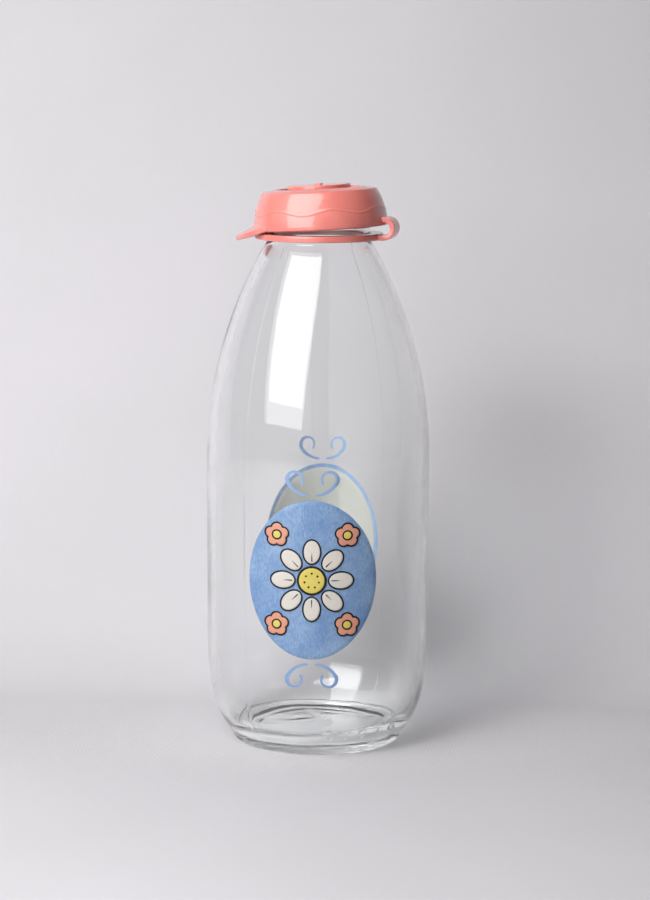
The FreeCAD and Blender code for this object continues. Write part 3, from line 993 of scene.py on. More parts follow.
@dataclass
class SnapCap:
    """Tethered cap, ring and strap, moulded in one plastic."""

    glass: GlassBottle
    cap_height: float = 15.7 * MM
    tilt: float = math.radians(3.3)
    seat_gap: float = 0.3 * MM
    crown_thickness: float = 1.4 * MM
    crown_rise: float = 0.8 * MM
    crown_play: float = 0.5 * MM
    crown_round: float = 1.3 * MM
    crown_edge: float = 0.49 * MM
    crown_run: float = 1.6 * MM
    crown_dip: float = 0.05 * MM
    crown_inset: float = 2.86 * MM
    crown_step: float = 0.12 * MM
    skirt_wall: float = 1.4 * MM
    skirt_sweep: float = 31.0 * MM
    skirt_rows: int = 36
    bead_height: float = 6.0 * MM
    bead_depth: float = 1.0 * MM
    bead_reach: float = 1.4 * MM
    bead_rows: int = 8
    plug_depth: float = 4.2 * MM
    plug_play: float = 0.4 * MM
    plug_taper: float = 0.9 * MM
    plug_wall: float = 1.2 * MM
    plug_fillet: float = 0.21 * MM
    plug_draft: float = 0.2 * MM
    recess_round: float = 0.7 * MM
    recess_share: float = 0.6
    groove_width: float = 4.2 * MM
    groove_run: float = 1.4 * MM
    groove_draft: float = 0.3 * MM
    groove_drop: float = 1.2 * MM
    boss_rise: float = 1.3 * MM
    boss_round: float = 0.56 * MM
    gate_radius: float = 1.6 * MM
    gate_rise: float = 0.5 * MM
    gate_wall: float = 0.2 * MM
    gate_round: float = 0.25 * MM
    gate_fillet: float = 0.15 * MM
    edge: float = 0.35 * MM
    lead: float = 1.0 * MM
    peak_reach: float = 8.3 * MM
    peak_half_angle: float = math.radians(51.0)
    peak_droop: float = math.radians(27.5)
    peak_thickness: float = 1.9 * MM
    peak_fillet: float = 3.2 * MM
    peak_fillet_share: float = 0.8
    peak_edge: float = 0.525 * MM
    peak_edge_share: float = 0.45
    peak_rows: int = 7
    peak_land: float = 0.4 * MM
    round_rows: int = 6
    waves: int = 7
    wave_middle: float = 7.4 * MM
    wave_height: float = 1.0 * MM
    wave_width: float = 0.55 * MM
    wave_rise: float = 0.28 * MM
    hinge_azimuth: float = math.radians(-12.0)
    ring_play: float = 0.35 * MM
    ring_lift: float = 0.2 * MM
    ring_thickness: float = 2.2 * MM
    ring_crown: float = 0.45 * MM
    ring_inset: float = 1.2 * MM
    ring_round: float = 0.55 * MM
    ring_bore_round: float = 0.33 * MM
    ring_close: float = 0.3 * MM
    strap_width: float = 11.0 * MM
    strap_thickness: float = 2.0 * MM
    strap_bevel: float = 0.35 * MM
    strap_close: float = 0.525 * MM
    strap_waist: float = 0.1
    strap_root_height: float = 2.5 * MM
    strap_sink: float = 0.5 * MM
    strap_root_sink: float = 0.7 * MM
    strap_step: float = 0.42 * MM
    strap_points: int = 24
    columns: int = 360
    step: float = 0.7 * MM
    crease: float = 60.0

    def __post_init__(self) -> None:
        """Work out the places that outlines and pieces share, in the cap's own frame."""
        self.underside = self.cap_height - self.crown_thickness
        self.crown_top = self.cap_height + self.crown_rise
        self.boss_top = self.crown_top + self.boss_rise
        self.shoulder = self.cap_height - 2 * self.crown_round
        self.plug_root = self.glass.bore_radius - self.plug_play
        self.plug_tip = self.plug_root - self.plug_taper
        self.plug_bottom = self.underside - self.plug_depth
        self.groove_outer = self.plug_root - self.plug_wall
        self.boss_radius = self.groove_outer - self.groove_width
        self.inner_sweep = self.skirt_sweep - self.skirt_wall
        crown_inner = self.glass.lip_radius + self.crown_play
        self.sweep_centre = crown_inner - math.sqrt(self.inner_sweep ** 2 - self.underside ** 2)
        self.skirt_radius = self.sweep_centre + self.skirt_sweep
        self.skirt_inner = self.skirt_radius - self.skirt_wall
        seat_radius = self.glass.lip_radius - self.glass.lip_round
        pivot = self.glass.height + self.seat_gap + seat_radius * math.sin(self.tilt)
        self.swing = Matrix.Rotation(self.hinge_azimuth, 4, "Z")
        tilted = Matrix.Translation((0, 0, pivot)) @ Matrix.Rotation(-self.tilt, 4, "Y")
        self.seat = self.swing @ tilted @ Matrix.Translation((0, 0, -self.underside))
        self.ring_radius = self.skirt_radius - self.ring_inset
        self.ring_bottom = self.glass.neck_start + self.ring_lift
        self.ring_middle = self.ring_bottom + self.ring_thickness / 2
        root = self.seat @ Vector((self.skirt_at(self.strap_root_height), 0, self.strap_root_height))
        self.loop_reach = math.hypot(root.x, root.y)
        self.root_height = root.z

    def skirt_at(self, height: float) -> float:
        """Radius of the skirt's outside at a height."""
        return self.sweep_centre + math.sqrt(self.skirt_sweep ** 2 - height ** 2)

    def top(self) -> list[Point2]:
        """Draw the top, from the gate mark over boss, groove and crown to the skirt's upper end.

        Returns:
            Radius and height of each point.
        """
        floor = self.plug_bottom + self.plug_wall
        gate_top = self.boss_top + self.gate_rise
        gate_foot = self.gate_radius + self.gate_rise
        crown_corner = self.skirt_at(self.cap_height)
        outline = Outline((0.0, gate_top), self.step)
        gate_side = (self.gate_radius, self.boss_top + self.gate_wall)
        outline.corner((self.gate_radius, gate_top), gate_side, self.gate_round)
        outline.corner((self.gate_radius, self.boss_top), (gate_foot, self.boss_top), self.gate_fillet)
        boss_side = (self.boss_radius, floor + 2 * self.edge)
        outline.corner((self.boss_radius, self.boss_top), boss_side, self.boss_round)
        outline.corner((self.boss_radius, floor), (self.boss_radius + self.groove_run, floor), self.edge)
        groove_side = (self.groove_outer - self.groove_draft, self.crown_top - self.groove_drop)
        outline.corner((self.plug_tip - self.plug_wall, floor), groove_side, self.edge)
        crown = (self.groove_outer + self.crown_run, self.crown_top - self.crown_dip)
        outline.corner((self.groove_outer, self.crown_top), crown, self.crown_edge)
        outline.line((crown_corner - self.crown_inset, self.cap_height + self.crown_step))
        skirt = (self.skirt_at(self.shoulder), self.shoulder)
        outline.corner((crown_corner, self.cap_height), skirt, self.crown_round)
        return outline.points

    def peak_extent(self, turn: float) -> float:
        """Reach of the thumb peak past the skirt.

        Args:
            turn: Angle from the peak's middle.

        Returns:
            How far the peak stands out there.
        """
        tip = self.skirt_radius + self.peak_reach
        side = self.skirt_radius * math.cos(self.peak_half_angle)
        spread = self.skirt_radius * math.sin(self.peak_half_angle)
        offset = (tip ** 2 - side ** 2 - spread ** 2) / (2 * (tip - side))
        inside = (tip - offset) ** 2 - (offset * math.sin(turn)) ** 2
        return max(0.0, offset * math.cos(turn) + math.sqrt(max(0.0, inside)) - self.skirt_radius)

    def ridge(self, turn: float, height: float) -> float:
        """Rise of the wavy ridge round the skirt."""
        middle = self.wave_middle + self.wave_height * math.sin(self.waves * turn)
        return self.wave_rise * smooth_step(1 - abs(height - middle) / self.wave_width)

    def flank(self, turn: float) -> list[Point2]:
        """Draw down the skirt, out over the thumb peak and back to the skirt's inner edge.

        Args:
            turn: Angle from the peak's middle.

        Returns:
            Radius and height of each point, as many at every angle.
        """
        extent = self.peak_extent(turn)
        slope = math.tan(self.peak_droop)
        depth = self.peak_thickness / math.cos(self.peak_droop)
        fillet = min(self.peak_fillet, extent * self.peak_fillet_share)
        start = depth - fillet * slope + fillet / math.cos(self.peak_droop)
        points = []
        for index in range(1, self.skirt_rows + 1):
            height = self.shoulder + (start - self.shoulder) * index / self.skirt_rows
            points.append((self.skirt_at(height) + self.ridge(turn, height), height))
        steep, under = QUARTER - self.peak_droop, QUARTER + self.peak_droop
        rounds = [index / self.round_rows for index in range(self.round_rows + 1)]
        centre = (self.skirt_at(start) + fillet, start)
        points += [about(centre, fillet, math.pi + steep * share) for share in rounds[1:]]
        low, edge = -extent * slope, min(self.peak_edge, depth * self.peak_edge_share)
        across, rise = self.skirt_radius + extent - edge, low + edge * slope
        last, tip = points[-1], (across, rise + depth)
        points += [between(last, tip, index / self.peak_rows) for index in range(1, self.peak_rows)]
        points += [about((across, rise + depth - edge), edge, steep * (1 - share)) for share in rounds]
        points += [about((across, rise + edge), edge, -under * share) for share in rounds]
        last, land = points[-1], (self.skirt_radius - self.peak_land, 0.0)
        rows = self.peak_rows + 1
        points += [between(last, land, index / rows) for index in range(1, rows)]
        return points + [(self.skirt_inner + self.edge, 0.0), (self.skirt_inner, self.edge)]

    def underneath(self) -> list[Point2]:
        """Draw up the inside of the skirt, over the snap bead, and round the hollow plug.

        Returns:
            Radius and height of each point.
        """
        centre, start = (self.sweep_centre, 0.0), 2 * self.edge
        bead, crown, foot = (
            math.asin(height / self.inner_sweep) for height in (self.bead_height, self.underside, start)
        )
        spread = self.bead_reach / self.inner_sweep
        recess = self.boss_radius - self.plug_wall
        ceiling = self.boss_top - self.crown_thickness
        outline = Outline((self.skirt_inner, start), self.step)
        outline.arc(centre, self.inner_sweep, foot, bead - spread)
        for index in range(1, self.bead_rows + 1):
            share = index / self.bead_rows
            rise = self.bead_depth * math.sin(math.pi * share) ** 2
            outline.points.append(about(centre, self.inner_sweep - rise, bead - spread + 2 * spread * share))
        outline.arc(centre, self.inner_sweep, bead + spread, crown)
        outline.line((self.plug_root + self.edge, self.underside))
        plug_side = (self.plug_root - self.plug_draft, self.underside - self.lead)
        outline.corner((self.plug_root, self.underside), plug_side, self.plug_fillet)
        plug_end = (self.plug_tip - self.plug_wall, self.plug_bottom)
        outline.corner((self.plug_tip, self.plug_bottom), plug_end, self.edge)
        outline.corner((recess, self.plug_bottom), (recess, ceiling - self.lead), self.edge)
        outline.corner((recess, ceiling), (recess * self.recess_share, ceiling), self.recess_round)
        outline.line((0.0, ceiling))
        return outline.points

    def cap(self) -> Piece:
        """Model the cap, whose outline changes round it where the thumb peak stands out.

        Returns:
            The cap.
        """
        angles = turns(self.columns)
        flanks = [self.flank(angle - math.pi) for angle in angles]
        rows = [[place] * self.columns for place in self.top()]
        rows += [list(row) for row in zip(*flanks)]
        rows += [[place] * self.columns for place in self.underneath()]
        rings = []
        for row in rows:
            ring = [
                self.seat @ Vector((*about(MIDDLE, radius, angle), height))
                for (radius, height), angle in zip(row, angles)
            ]
            rings.append(ring[:1] if row[0][0] < ON_AXIS else ring)
        return loft("cap", rings, self.crease)

    def collar(self) -> Piece:
        """Model the retaining ring with rounded edges.

        Returns:
            The ring.
        """
        inner = self.glass.neck_radius + self.ring_play
        low, top = self.ring_bottom, self.ring_bottom + self.ring_thickness + self.ring_crown
        middle = (inner + self.ring_radius) / 2
        outline = Outline((middle, low), self.step)
        outline.corner((self.ring_radius, low), (self.ring_radius, self.ring_middle), self.ring_round)
        outline.corner((self.ring_radius, top), (middle, top), self.ring_round)
        outline.corner((inner, top), (inner, self.ring_middle), self.ring_bore_round)
        outline.corner((inner, low), (middle - self.ring_close, low), self.ring_bore_round)
        rings = [
            [Vector((*about(MIDDLE, radius, angle), height)) for angle in turns(self.columns)]
            for radius, height in outline.points
        ]
        return loft("neck_collar", rings, self.crease, closed=True)

    def strap(self) -> Piece:
        """Model the strap as a rounded band bent into a loop from ring to skirt.

        Returns:
            The strap.
        """
        centre = (self.loop_reach, (self.root_height + self.ring_middle) / 2)
        outline = Outline((self.ring_radius - self.strap_sink, self.ring_middle), self.strap_step)
        outline.line((self.loop_reach, self.ring_middle))
        outline.arc(centre, self.root_height - centre[1], -QUARTER, QUARTER, self.strap_points)
        outline.line((self.loop_reach - self.strap_root_sink, self.root_height))
        path = outline.points
        wide, thick, bevel = self.strap_width / 2, self.strap_thickness / 2, self.strap_bevel
        section = Outline((wide - bevel, -thick), self.step)
        section.corner((wide, -thick), (wide, 0.0), bevel)
        section.corner((wide, thick), (0.0, thick), bevel)
        section.corner((-wide, thick), (-wide, 0.0), bevel)
        section.corner((-wide, -thick), (wide - self.strap_close, -thick), bevel)
        rings = []
        for index, (reach, height) in enumerate(path):
            normal = sideways(path, index)
            waist = 1.0 - self.strap_waist * math.sin(math.pi * index / (len(path) - 1))
            rings.append([
                self.swing @ Vector((reach + normal.x * out, across * waist, height + normal.y * out))
                for across, out in section.points[:-1]
            ])
        first, last = (sum(ring, Vector()) / len(ring) for ring in (rings[0], rings[-1]))
        return loft("hinge_loop", [[first], *rings, [last]], self.crease)

    def build(self) -> None:
        """Model cap, ring and strap, join cap and ring to the bodies that carry them, and bake the strap's
        place into its mesh.
        """
        self.pieces = {"cap_shell": self.cap(), "neck_ring": self.collar(), "hinge_strap": self.strap()}
        for node, piece in self.pieces.items():
            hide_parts(node)
        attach(self.pieces["cap_shell"], "cap")
        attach(self.pieces["neck_ring"], "collar")
        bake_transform(self.pieces["hinge_strap"])

    def dress(self, finishes: Finishes) -> None:
        """Give cap, ring and strap their plastic."""
        for piece in self.pieces.values():
            finishes.dress(piece, SoftPlastic())


class Side(Enum):
    """The two printed sides, with the turn about the bottle's axis that each takes."""

    FRONT = 0.0
    BACK = math.pi


class Layer(IntEnum):
    """Layers of ink, numbered from the glass outward."""

    BACKING = 0
    GROUND = 1
    FLOWERS = 2
    LINES = 3
    SEEDS = 4


@dataclass
class PrintedOval:
    """One printed side: an oval with flowers, and scrolls above and below it."""

    glass: GlassBottle
    side: Side
    oval_height: float = 65.8 * MM
    oval_width: float = 52.0 * MM
    oval_points: int = 128
    oval_rings: int = 14
    heel_lap: float = 3.6 * MM
    backing_inset: float = 1.6 * MM
    ink_thickness: float = 0.07 * MM
    ink_gap: float = 0.05 * MM
    ink_edge: float = 0.06 * MM
    crease: float = 80.0
    petals: int = 8
    petal_length: float = 9.5 * MM
    petal_width: float = 6.6 * MM
    flower_rings: int = 4
    eye_radius: float = 5.2 * MM
    eye_ring: float = 0.9 * MM
    eye_clearance: float = 0.4 * MM
    outline_width: float = 0.62 * MM
    fold_start: float = 1.55 * MM
    fold_length: float = 3.4 * MM
    fold_width: float = 0.4 * MM
    fold_taper: float = 0.9
    fold_points: int = 8
    seeds: int = 7
    seed_reach: float = 3.0 * MM
    seed_radius: float = 0.42 * MM
    seed_points: int = 20
    lobes: int = 5
    lobe_radius: float = 2.1 * MM
    lobe_reach: float = 2.6 * MM
    lobe_points: int = 24
    blossom_eye: float = 1.5 * MM
    blossom_eye_rings: int = 2
    blossom_side: float = 14.4 * MM
    blossom_rise: float = 18.6 * MM
    stroke: float = 1.3 * MM
    stroke_thin: float = 0.72
    stroke_swell: float = 0.5
    swell_pace: float = 1.35
    tip_pace: float = 34.0
    tip_least: float = 0.02
    scroll_gap: float = 2.2 * MM
    scroll_spacing: float = 1.6 * MM
    sweep_radius: float = 9.5 * MM
    sweep_turn: float = math.radians(62.0)
    sweep_points: int = 28
    curl_radius: float = 3.1 * MM
    curl_turn: float = math.radians(250.0)
    curl_points: int = 60

    def __post_init__(self) -> None:
        """Place the oval on the wall."""
        self.centre = self.glass.heel_start - self.heel_lap + self.oval_height / 2
        self.prefix = self.side.name.lower()
        self.turn = Matrix.Rotation(self.side.value, 4, "Z")
        self.eye_edge = self.eye_radius + self.eye_ring + self.eye_clearance
        self.blossoms = [
            (side * self.blossom_side, rise * self.blossom_rise) for rise in (1, -1) for side in (1, -1)
        ]

    def wrap(self, places: Sequence[Point2], depth: float) -> Ring:
        """Wrap places on the flat artwork round the glass.

        Args:
            places: The places.
            depth: Height of the result above the glass.

        Returns:
            The points in order.
        """
        points = []
        for across, up in places:
            height = self.centre + up
            radius = self.glass.outer_radius(height) + depth
            points.append(self.turn @ Vector((across, -math.sqrt(radius ** 2 - across ** 2), height)))
        return points

    def levels(self, layer: Layer) -> tuple[float, float]:
        """Lower and upper face of a layer of ink, above the glass."""
        low = self.ink_gap + layer * (self.ink_thickness + self.ink_gap)
        return low, low + self.ink_thickness

    def patch(self, loop: Sequence[Point2], middle: Point2, layer: Layer, inner_rings: int = 0) -> Piece:
        """Model a filled shape of ink.

        Args:
            loop: Its edge on the flat artwork.
            middle: A place inside that sees the whole edge.
            layer: Its layer.
            inner_rings: Rings of points between edge and middle.

        Returns:
            The shape as a closed skin on the glass.
        """
        low, high = self.levels(layer)
        edge = 1 - self.ink_edge / max(math.dist(place, middle) for place in loop)
        shares = [edge * (1 - index / (inner_rings + 1)) for index in range(inner_rings + 1)]
        drawn = [[between(middle, place, share) for place in loop] for share in shares]
        rings = [self.wrap([middle], low)]
        rings += [self.wrap(places, low) for places in reversed(drawn)]
        rings.append(self.wrap(loop, (low + high) / 2))
        rings += [self.wrap(places, high) for places in drawn]
        rings.append(self.wrap([middle], high))
        return loft("ink", rings, self.crease)

    def band(self, outer: Sequence[Point2], inner: Sequence[Point2]) -> Piece:
        """Model a closed line of dark ink.

        Args:
            outer: Its outer edge on the flat artwork.
            inner: Its inner edge, with as many points.

        Returns:
            The line as a closed skin on the glass.
        """
        low, high = self.levels(Layer.LINES)
        rings = [self.wrap(*row) for row in ((outer, low), (outer, high), (inner, high), (inner, low))]
        return loft("ink", rings, self.crease, closed=True)

    def brush(self, path: Sequence[Point2], widths: Sequence[float], layer: Layer) -> Piece:
        """Model a stroke of ink.

        Args:
            path: Its middle line on the flat artwork.
            widths: Its width at each point.
            layer: Its layer.

        Returns:
            The stroke as a closed skin on the glass.
        """
        low, high = self.levels(layer)
        rings = []
        for index, place in enumerate(path):
            side = sideways(path, index) * (widths[index] / 2)
            left = (place[0] + side.x, place[1] + side.y)
            right = (place[0] - side.x, place[1] - side.y)
            above = self.wrap([left, place, right], high)
            rings.append(self.wrap([left], low) + above + self.wrap([right, place], low))
        first, last = (self.wrap([place], (low + high) / 2) for place in (path[0], path[-1]))
        return loft("ink", [first, *rings, last], self.crease)

    def ellipse(
        self, width: float, height: float, middle: Point2 = MIDDLE, lean: float = 0.0, count: int = 64
    ) -> list[Point2]:
        """Draw an ellipse.

        Args:
            width: Its full width.
            height: Its full height.
            middle: Its middle.
            lean: Turn from upright, clockwise, in radians.
            count: Points on it.

        Returns:
            The points in order.
        """
        points = []
        for angle in turns(count):
            across, along = width / 2 * math.cos(angle), height / 2 * math.sin(angle)
            x = across * math.cos(lean) + along * math.sin(lean)
            y = along * math.cos(lean) - across * math.sin(lean)
            points.append((middle[0] + x, middle[1] + y))
        return points

    def circle(self, radius: float, middle: Point2 = MIDDLE, count: int = 64) -> list[Point2]:
        """Draw a circle."""
        return self.ellipse(2 * radius, 2 * radius, middle, count=count)

    def petal_loops(self, grow: float = 0.0) -> list[tuple[list[Point2], Point2]]:
        """Draw the daisy's petals.

        Args:
            grow: How far their edges are moved outward.

        Returns:
            Edge and middle of each petal.
        """
        reach = self.eye_edge + self.outline_width + self.petal_length / 2
        width, length = self.petal_width + 2 * grow, self.petal_length + 2 * grow
        middles = [(angle, clock(reach, angle)) for angle in turns(self.petals)]
        return [(self.ellipse(width, length, middle, angle), middle) for angle, middle in middles]

    def blossom_loop(self, middle: Point2, grow: float = 0.0) -> list[Point2]:
        """Draw a lobed blossom.

        Args:
            middle: Its middle.
            grow: How far its edge is moved outward.

        Returns:
            The points of its edge in order.
        """
        sector = FULL_TURN / self.lobes
        radius = self.lobe_radius + grow
        points = []
        for angle in turns(self.lobe_points * self.lobes):
            away = (angle + sector / 2) % sector - sector / 2
            chord = self.lobe_reach * math.sin(away)
            reach = self.lobe_reach * math.cos(away) + math.sqrt(radius ** 2 - chord ** 2)
            points.append(clock(reach, angle, middle))
        return points

    def dark_lines(self) -> list[Piece]:
        """Model the dark rings round eyes, the outlines, a fold up each petal and the daisy's seeds.

        Returns:
            The lines and seeds.
        """
        width = self.outline_width
        lines = [self.band(self.circle(self.eye_radius + self.eye_ring), self.circle(self.eye_radius))]
        for middle in self.blossoms:
            small = self.circle(self.blossom_eye, middle)
            lines.append(self.band(self.circle(self.blossom_eye + width, middle), small))
            lines.append(self.band(self.blossom_loop(middle, width), self.blossom_loop(middle)))
        for (outer, _), (inner, _) in zip(self.petal_loops(width), self.petal_loops()):
            lines.append(self.band(outer, inner))
        shares = [index / self.fold_points for index in range(self.fold_points + 1)]
        widths = [self.fold_width * (1 - self.fold_taper * share ** 2) for share in shares]
        first = self.eye_edge + self.fold_start
        for angle in turns(self.petals):
            path = [clock(first + self.fold_length * share, angle) for share in shares]
            lines.append(self.brush(path, widths, Layer.LINES))
        for angle in turns(self.seeds):
            middle = clock(self.seed_reach, angle)
            seed = self.circle(self.seed_radius, middle, self.seed_points)
            lines.append(self.patch(seed, middle, Layer.SEEDS))
        return lines

    def scroll(self, direction: int) -> list[Piece]:
        """Model two mirrored strokes that swell and taper.

        Args:
            direction: 1 above the oval, -1 below it.

        Returns:
            The two strokes.
        """
        start = self.scroll_spacing / 2 + self.stroke / 2
        centre = (start, self.oval_height / 2 + self.scroll_gap + self.sweep_radius)
        joint = self.sweep_turn - QUARTER
        curl = about(centre, self.sweep_radius - self.curl_radius, joint)
        path = [
            about(centre, self.sweep_radius, self.sweep_turn * index / self.sweep_points - QUARTER)
            for index in range(self.sweep_points + 1)
        ]
        path += [
            about(curl, self.curl_radius, joint + self.curl_turn * index / self.curl_points)
            for index in range(1, self.curl_points + 1)
        ]
        widths = []
        for index in range(len(path)):
            share = index / (len(path) - 1)
            swell = self.stroke_swell * math.sin(math.pi * min(1.0, share * self.swell_pace)) ** 2
            near_end = min(1.0, min(share, 1 - share) * self.tip_pace)
            tip = math.sqrt(max(self.tip_least, 1 - (1 - near_end) ** 2))
            widths.append(self.stroke * (self.stroke_thin + swell) * tip)
        mirrored = [[(mirror * x, direction * y) for x, y in path] for mirror in (1, -1)]
        return [self.brush(line, widths, Layer.BACKING) for line in mirrored]

    def build(self) -> None:
        """Model every layer of ink and let it ride on the bottle."""
        inset = 2 * self.backing_inset
        backing = self.ellipse(self.oval_width - inset, self.oval_height - inset, count=self.oval_points)
        ground = self.ellipse(self.oval_width, self.oval_height, count=self.oval_points)
        blossoms = [(self.blossom_loop(middle), middle) for middle in self.blossoms]
        flowers = (Layer.FLOWERS, self.flower_rings)
        eyes = [self.patch(self.circle(self.eye_radius), MIDDLE, Layer.LINES, self.flower_rings)]
        for middle in self.blossoms:
            small = self.circle(self.blossom_eye, middle)
            eyes.append(self.patch(small, middle, Layer.LINES, self.blossom_eye_rings))
        layers = {
            "white_backing": [self.patch(backing, MIDDLE, Layer.BACKING, self.oval_rings)],
            "blue_ground": [self.patch(ground, MIDDLE, Layer.GROUND, self.oval_rings)],
            "white_petals": [self.patch(loop, middle, *flowers) for loop, middle in self.petal_loops()],
            "pink_blossoms": [self.patch(loop, middle, *flowers) for loop, middle in blossoms],
            "yellow_eyes": eyes,
            "dark_outlines": self.dark_lines(),
            "upper_scroll": self.scroll(1),
            "lower_scroll": self.scroll(-1),
        }
        self.pieces: dict[str, Piece] = {}
        for layer, parts in layers.items():
            piece = join_pieces(f"{self.prefix}_print_{layer}", parts)
            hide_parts(f"{self.prefix}_{layer}")
            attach(piece, "bottle")
            self.pieces[layer] = piece

    def dress(self, finishes: Finishes) -> None:
        """Give each layer its ink.

        Args:
            finishes: Where the inks come from.
        """
        inks = {
            "white_backing": Ink.BACKING, "blue_ground": Ink.BLUE, "white_petals": Ink.WHITE,
            "pink_blossoms": Ink.PINK, "yellow_eyes": Ink.YELLOW, "dark_outlines": Ink.DARK,
            "upper_scroll": Ink.SCROLL, "lower_scroll": Ink.SCROLL,
        }
        for layer, piece in self.pieces.items():
            finishes.dress(piece, inks[layer].value)


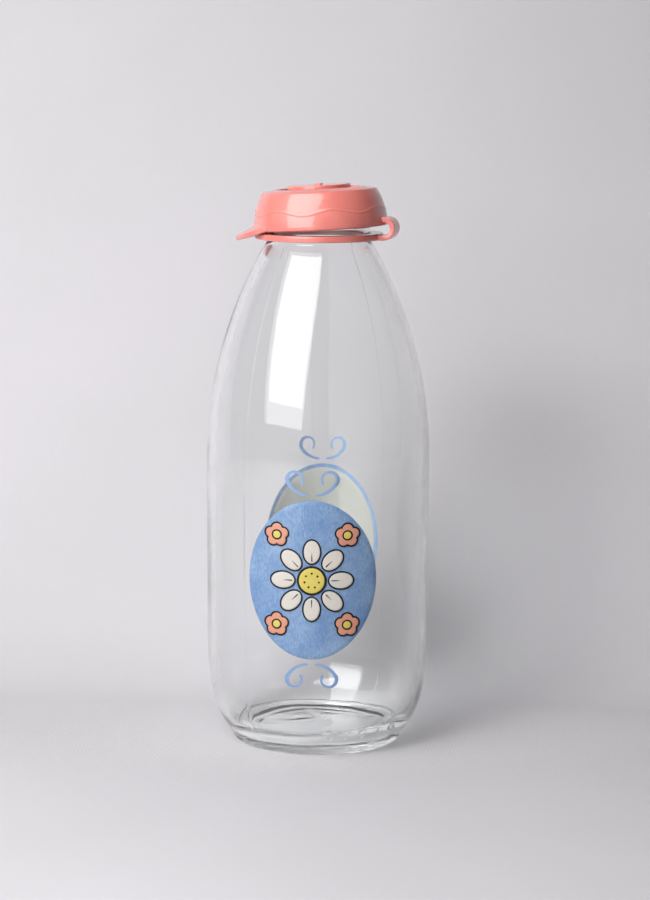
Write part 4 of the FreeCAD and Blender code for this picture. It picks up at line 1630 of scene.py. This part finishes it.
@dataclass
class Studio:
    """Pale sweep, one large soft light, dim surroundings and the camera."""

    sweep_start: float = 0.047
    sweep_radius: float = 0.085
    sweep_turn: float = math.radians(64.0)
    sweep_width: float = 2.0
    sweep_front: float = -3.0
    sweep_rise: float = 1.6
    sweep_step: float = 0.5
    sweep_points: int = 48
    sweep_crease: float = 60.0
    cloth_colour: Colour = srgb(201, 198, 202)
    cloth_shade: Colour = srgb(196, 194, 197)
    cloth_roughness: float = 0.9
    cloth_tone: Tone = Tone(
        cloud_scale=5.0, grain_scale=300.0, grain_share=0.1, speck_scale=500.0, speck_share=0.0,
    )
    weave_scale: float = 380.0
    weave_wander: float = 2.0
    weave_detail: float = 1.0
    weave_middle: float = -0.02
    weave_reach: float = 0.12
    weave_depth: float = 0.0002
    light_azimuth: float = math.radians(-34.0)
    light_distance: float = 0.675
    light_height: float = 0.53
    light_dip: float = math.radians(44.0)
    light_width: float = 0.71
    light_length: float = 0.94
    light_power: float = 10.3
    light_lift: float = 0.1
    lift_dip: float = math.radians(3.0)
    shine_power: float = 6.0
    core_size: float = 0.2
    core_power: float = 2.2
    left_glow: float = 0.12
    right_glow: float = 0.01
    glow_reach: float = 0.7
    pale_glow: float = 0.7
    scatter_weight: float = 64.0
    bounces: int = 16
    camera_distance: float = 1.0
    camera_height: float = 0.2839
    camera_azimuth: float = math.radians(2.9)
    camera_pitch: float = math.radians(9.139)
    camera_yaw: float = math.radians(0.165)
    camera_roll: float = math.radians(0.29)
    focal_pixels: float = 2396.6
    image_height: float = 900.0
    sensor: float = 36.0

    def sweep(self) -> Piece:
        """Model the floor that curves up into a backdrop.

        Returns:
            The sweep, facing up.
        """
        outline = Outline((self.sweep_front, 0.0), self.sweep_step)
        outline.line((self.sweep_start, 0.0))
        centre = (self.sweep_start, self.sweep_radius)
        outline.arc(centre, self.sweep_radius, -QUARTER, self.sweep_turn - QUARTER, self.sweep_points)
        foot = outline.points[-1]
        outline.line((foot[0] + self.sweep_rise / math.tan(self.sweep_turn), foot[1] + self.sweep_rise))
        sides = (-self.sweep_width / 2, self.sweep_width / 2)
        vertices = [Vector((side, *place)) for place in outline.points for side in sides]
        faces = [(first, first + 1, first + 3, first + 2) for first in range(0, len(vertices) - 2, 2)]
        piece = mesh_piece("studio_sweep", vertices, faces, self.sweep_crease)
        if piece.data.polygons[0].normal.z < 0:
            piece.data.flip_normals()
        return piece

    def cloth(self) -> bpy.types.Material:
        """Make a pale woven cloth that is clear from behind, so that it hides nothing.

        Returns:
            The material.
        """
        material, sheet, shader, output = new_material("pale_cloth")
        tone = self.cloth_tone.place(sheet)["tone"]
        colour = sheet.mix(tone, self.cloth_colour, self.cloth_shade)
        sheet.feed(shader, {"Base Color": colour, "Roughness": self.cloth_roughness})
        place = sheet.place()
        bands = {"wave_type": "BANDS", "bands_direction": "DIAGONAL"}
        weave = sheet.add(
            "TexWave", bands, Vector=place, Scale=self.weave_scale,
            Distortion=self.weave_wander, Detail=self.weave_detail,
        )
        away = sheet.arithmetic("SUBTRACT", sheet.part(place, "Y"), self.weave_middle)
        near = sheet.span(sheet.arithmetic("ABSOLUTE", away), (0.0, self.weave_reach), (1.0, 0.0), ease=True)
        sheet.bump(shader, sheet.arithmetic("MULTIPLY", weave.outputs["Fac"], near), self.weave_depth)
        behind = sheet.add("NewGeometry").outputs["Backfacing"]
        sheet.show(output, behind, shader, sheet.add("BsdfTransparent"))
        return material

    def lamp(self, name: str, width: float, length: float, power: float, mirrored: bool = False) -> None:
        """Hang a soft light in front of the bottle, to the left.

        Args:
            name: Name of the light.
            width: Its width.
            length: Its length.
            power: Its power in watts.
            mirrored: Whether it shows in reflections only, or hangs higher and not in them at all.
        """
        data = bpy.data.lights.new(name, "AREA")
        data.shape = "RECTANGLE"
        data.size = width
        data.size_y = length
        data.energy = power
        lamp = bpy.data.objects.new(name, data)
        lift, dip = (0.0, 0.0) if mirrored else (self.light_lift, self.lift_dip)
        across, along = clock(self.light_distance, self.light_azimuth)
        lamp.location = (across, -along, self.light_height + lift)
        lamp.rotation_euler = (QUARTER - self.light_dip - dip, 0.0, self.light_azimuth)
        lamp.visible_glossy = mirrored
        lamp.visible_diffuse = not mirrored
        bpy.context.scene.collection.objects.link(lamp)

    def surroundings(self) -> None:
        """Light the room dimly, less on the right, and pale where it is seen directly or through glass."""
        world = bpy.data.worlds.new("studio_room")
        world.use_nodes = True
        bpy.context.scene.world = world
        sheet = NodeSheet(world.node_tree)
        back = next(node for node in world.node_tree.nodes if node.type == "BACKGROUND")
        across = sheet.part(sheet.add("TexCoord").outputs["Generated"], "X")
        glow = (self.left_glow, self.right_glow)
        level = sheet.span(across, (-self.glow_reach, self.glow_reach), glow, ease=True)
        rays = sheet.add("LightPath").outputs
        scattered = sheet.arithmetic("MULTIPLY", rays["Diffuse Depth"], self.scatter_weight)
        through = sheet.arithmetic("GREATER_THAN", rays["Transmission Depth"], scattered)
        seen = sheet.arithmetic("MAXIMUM", rays["Is Camera Ray"], through)
        sheet.feed(back, {"Color": self.cloth_colour, "Strength": sheet.weigh(seen, level, self.pale_glow)})

    def camera(self) -> None:
        """Set the camera where the photograph was taken from."""
        data = bpy.data.cameras.new("view")
        data.sensor_width = self.sensor
        data.lens = self.focal_pixels * self.sensor / self.image_height
        view = bpy.data.objects.new("view", data)
        across, along = clock(self.camera_distance, self.camera_azimuth)
        view.matrix_world = (
            Matrix.Translation((across, -along, self.camera_height))
            @ Matrix.Rotation(self.camera_azimuth - self.camera_yaw, 4, "Z")
            @ Matrix.Rotation(QUARTER - self.camera_pitch, 4, "X")
            @ Matrix.Rotation(self.camera_roll, 4, "Z")
        )
        bpy.context.scene.collection.objects.link(view)
        bpy.context.scene.camera = view

    def build(self) -> None:
        """Set up floor, light, room and camera."""
        sweep = self.sweep()
        sweep.data.materials.append(self.cloth())
        self.lamp("softbox", self.light_width, self.light_length, self.light_power)
        self.lamp("softbox_core", self.core_size, self.core_size, self.core_power)
        self.lamp("softbox_shine", self.light_width, self.light_length, self.shine_power, mirrored=True)
        self.surroundings()
        self.camera()
        scene = bpy.context.scene
        scene.view_settings.view_transform = "Standard"
        scene.cycles.glossy_bounces = self.bounces
        scene.cycles.transmission_bounces = self.bounces
        scene.cycles.max_bounces = 2 * self.bounces
        log.info("%s and softbox in place", sweep.name)


def main() -> None:
    """Build bottle, cap and prints, dress them and set up the studio."""
    finishes = Finishes()
    bottle = GlassBottle()
    assemblies = [bottle, SnapCap(bottle), PrintedOval(bottle, Side.FRONT), PrintedOval(bottle, Side.BACK)]
    for assembly in assemblies:
        assembly.build()
        assembly.dress(finishes)
    Studio().build()


if __name__ == "__main__":
    main()
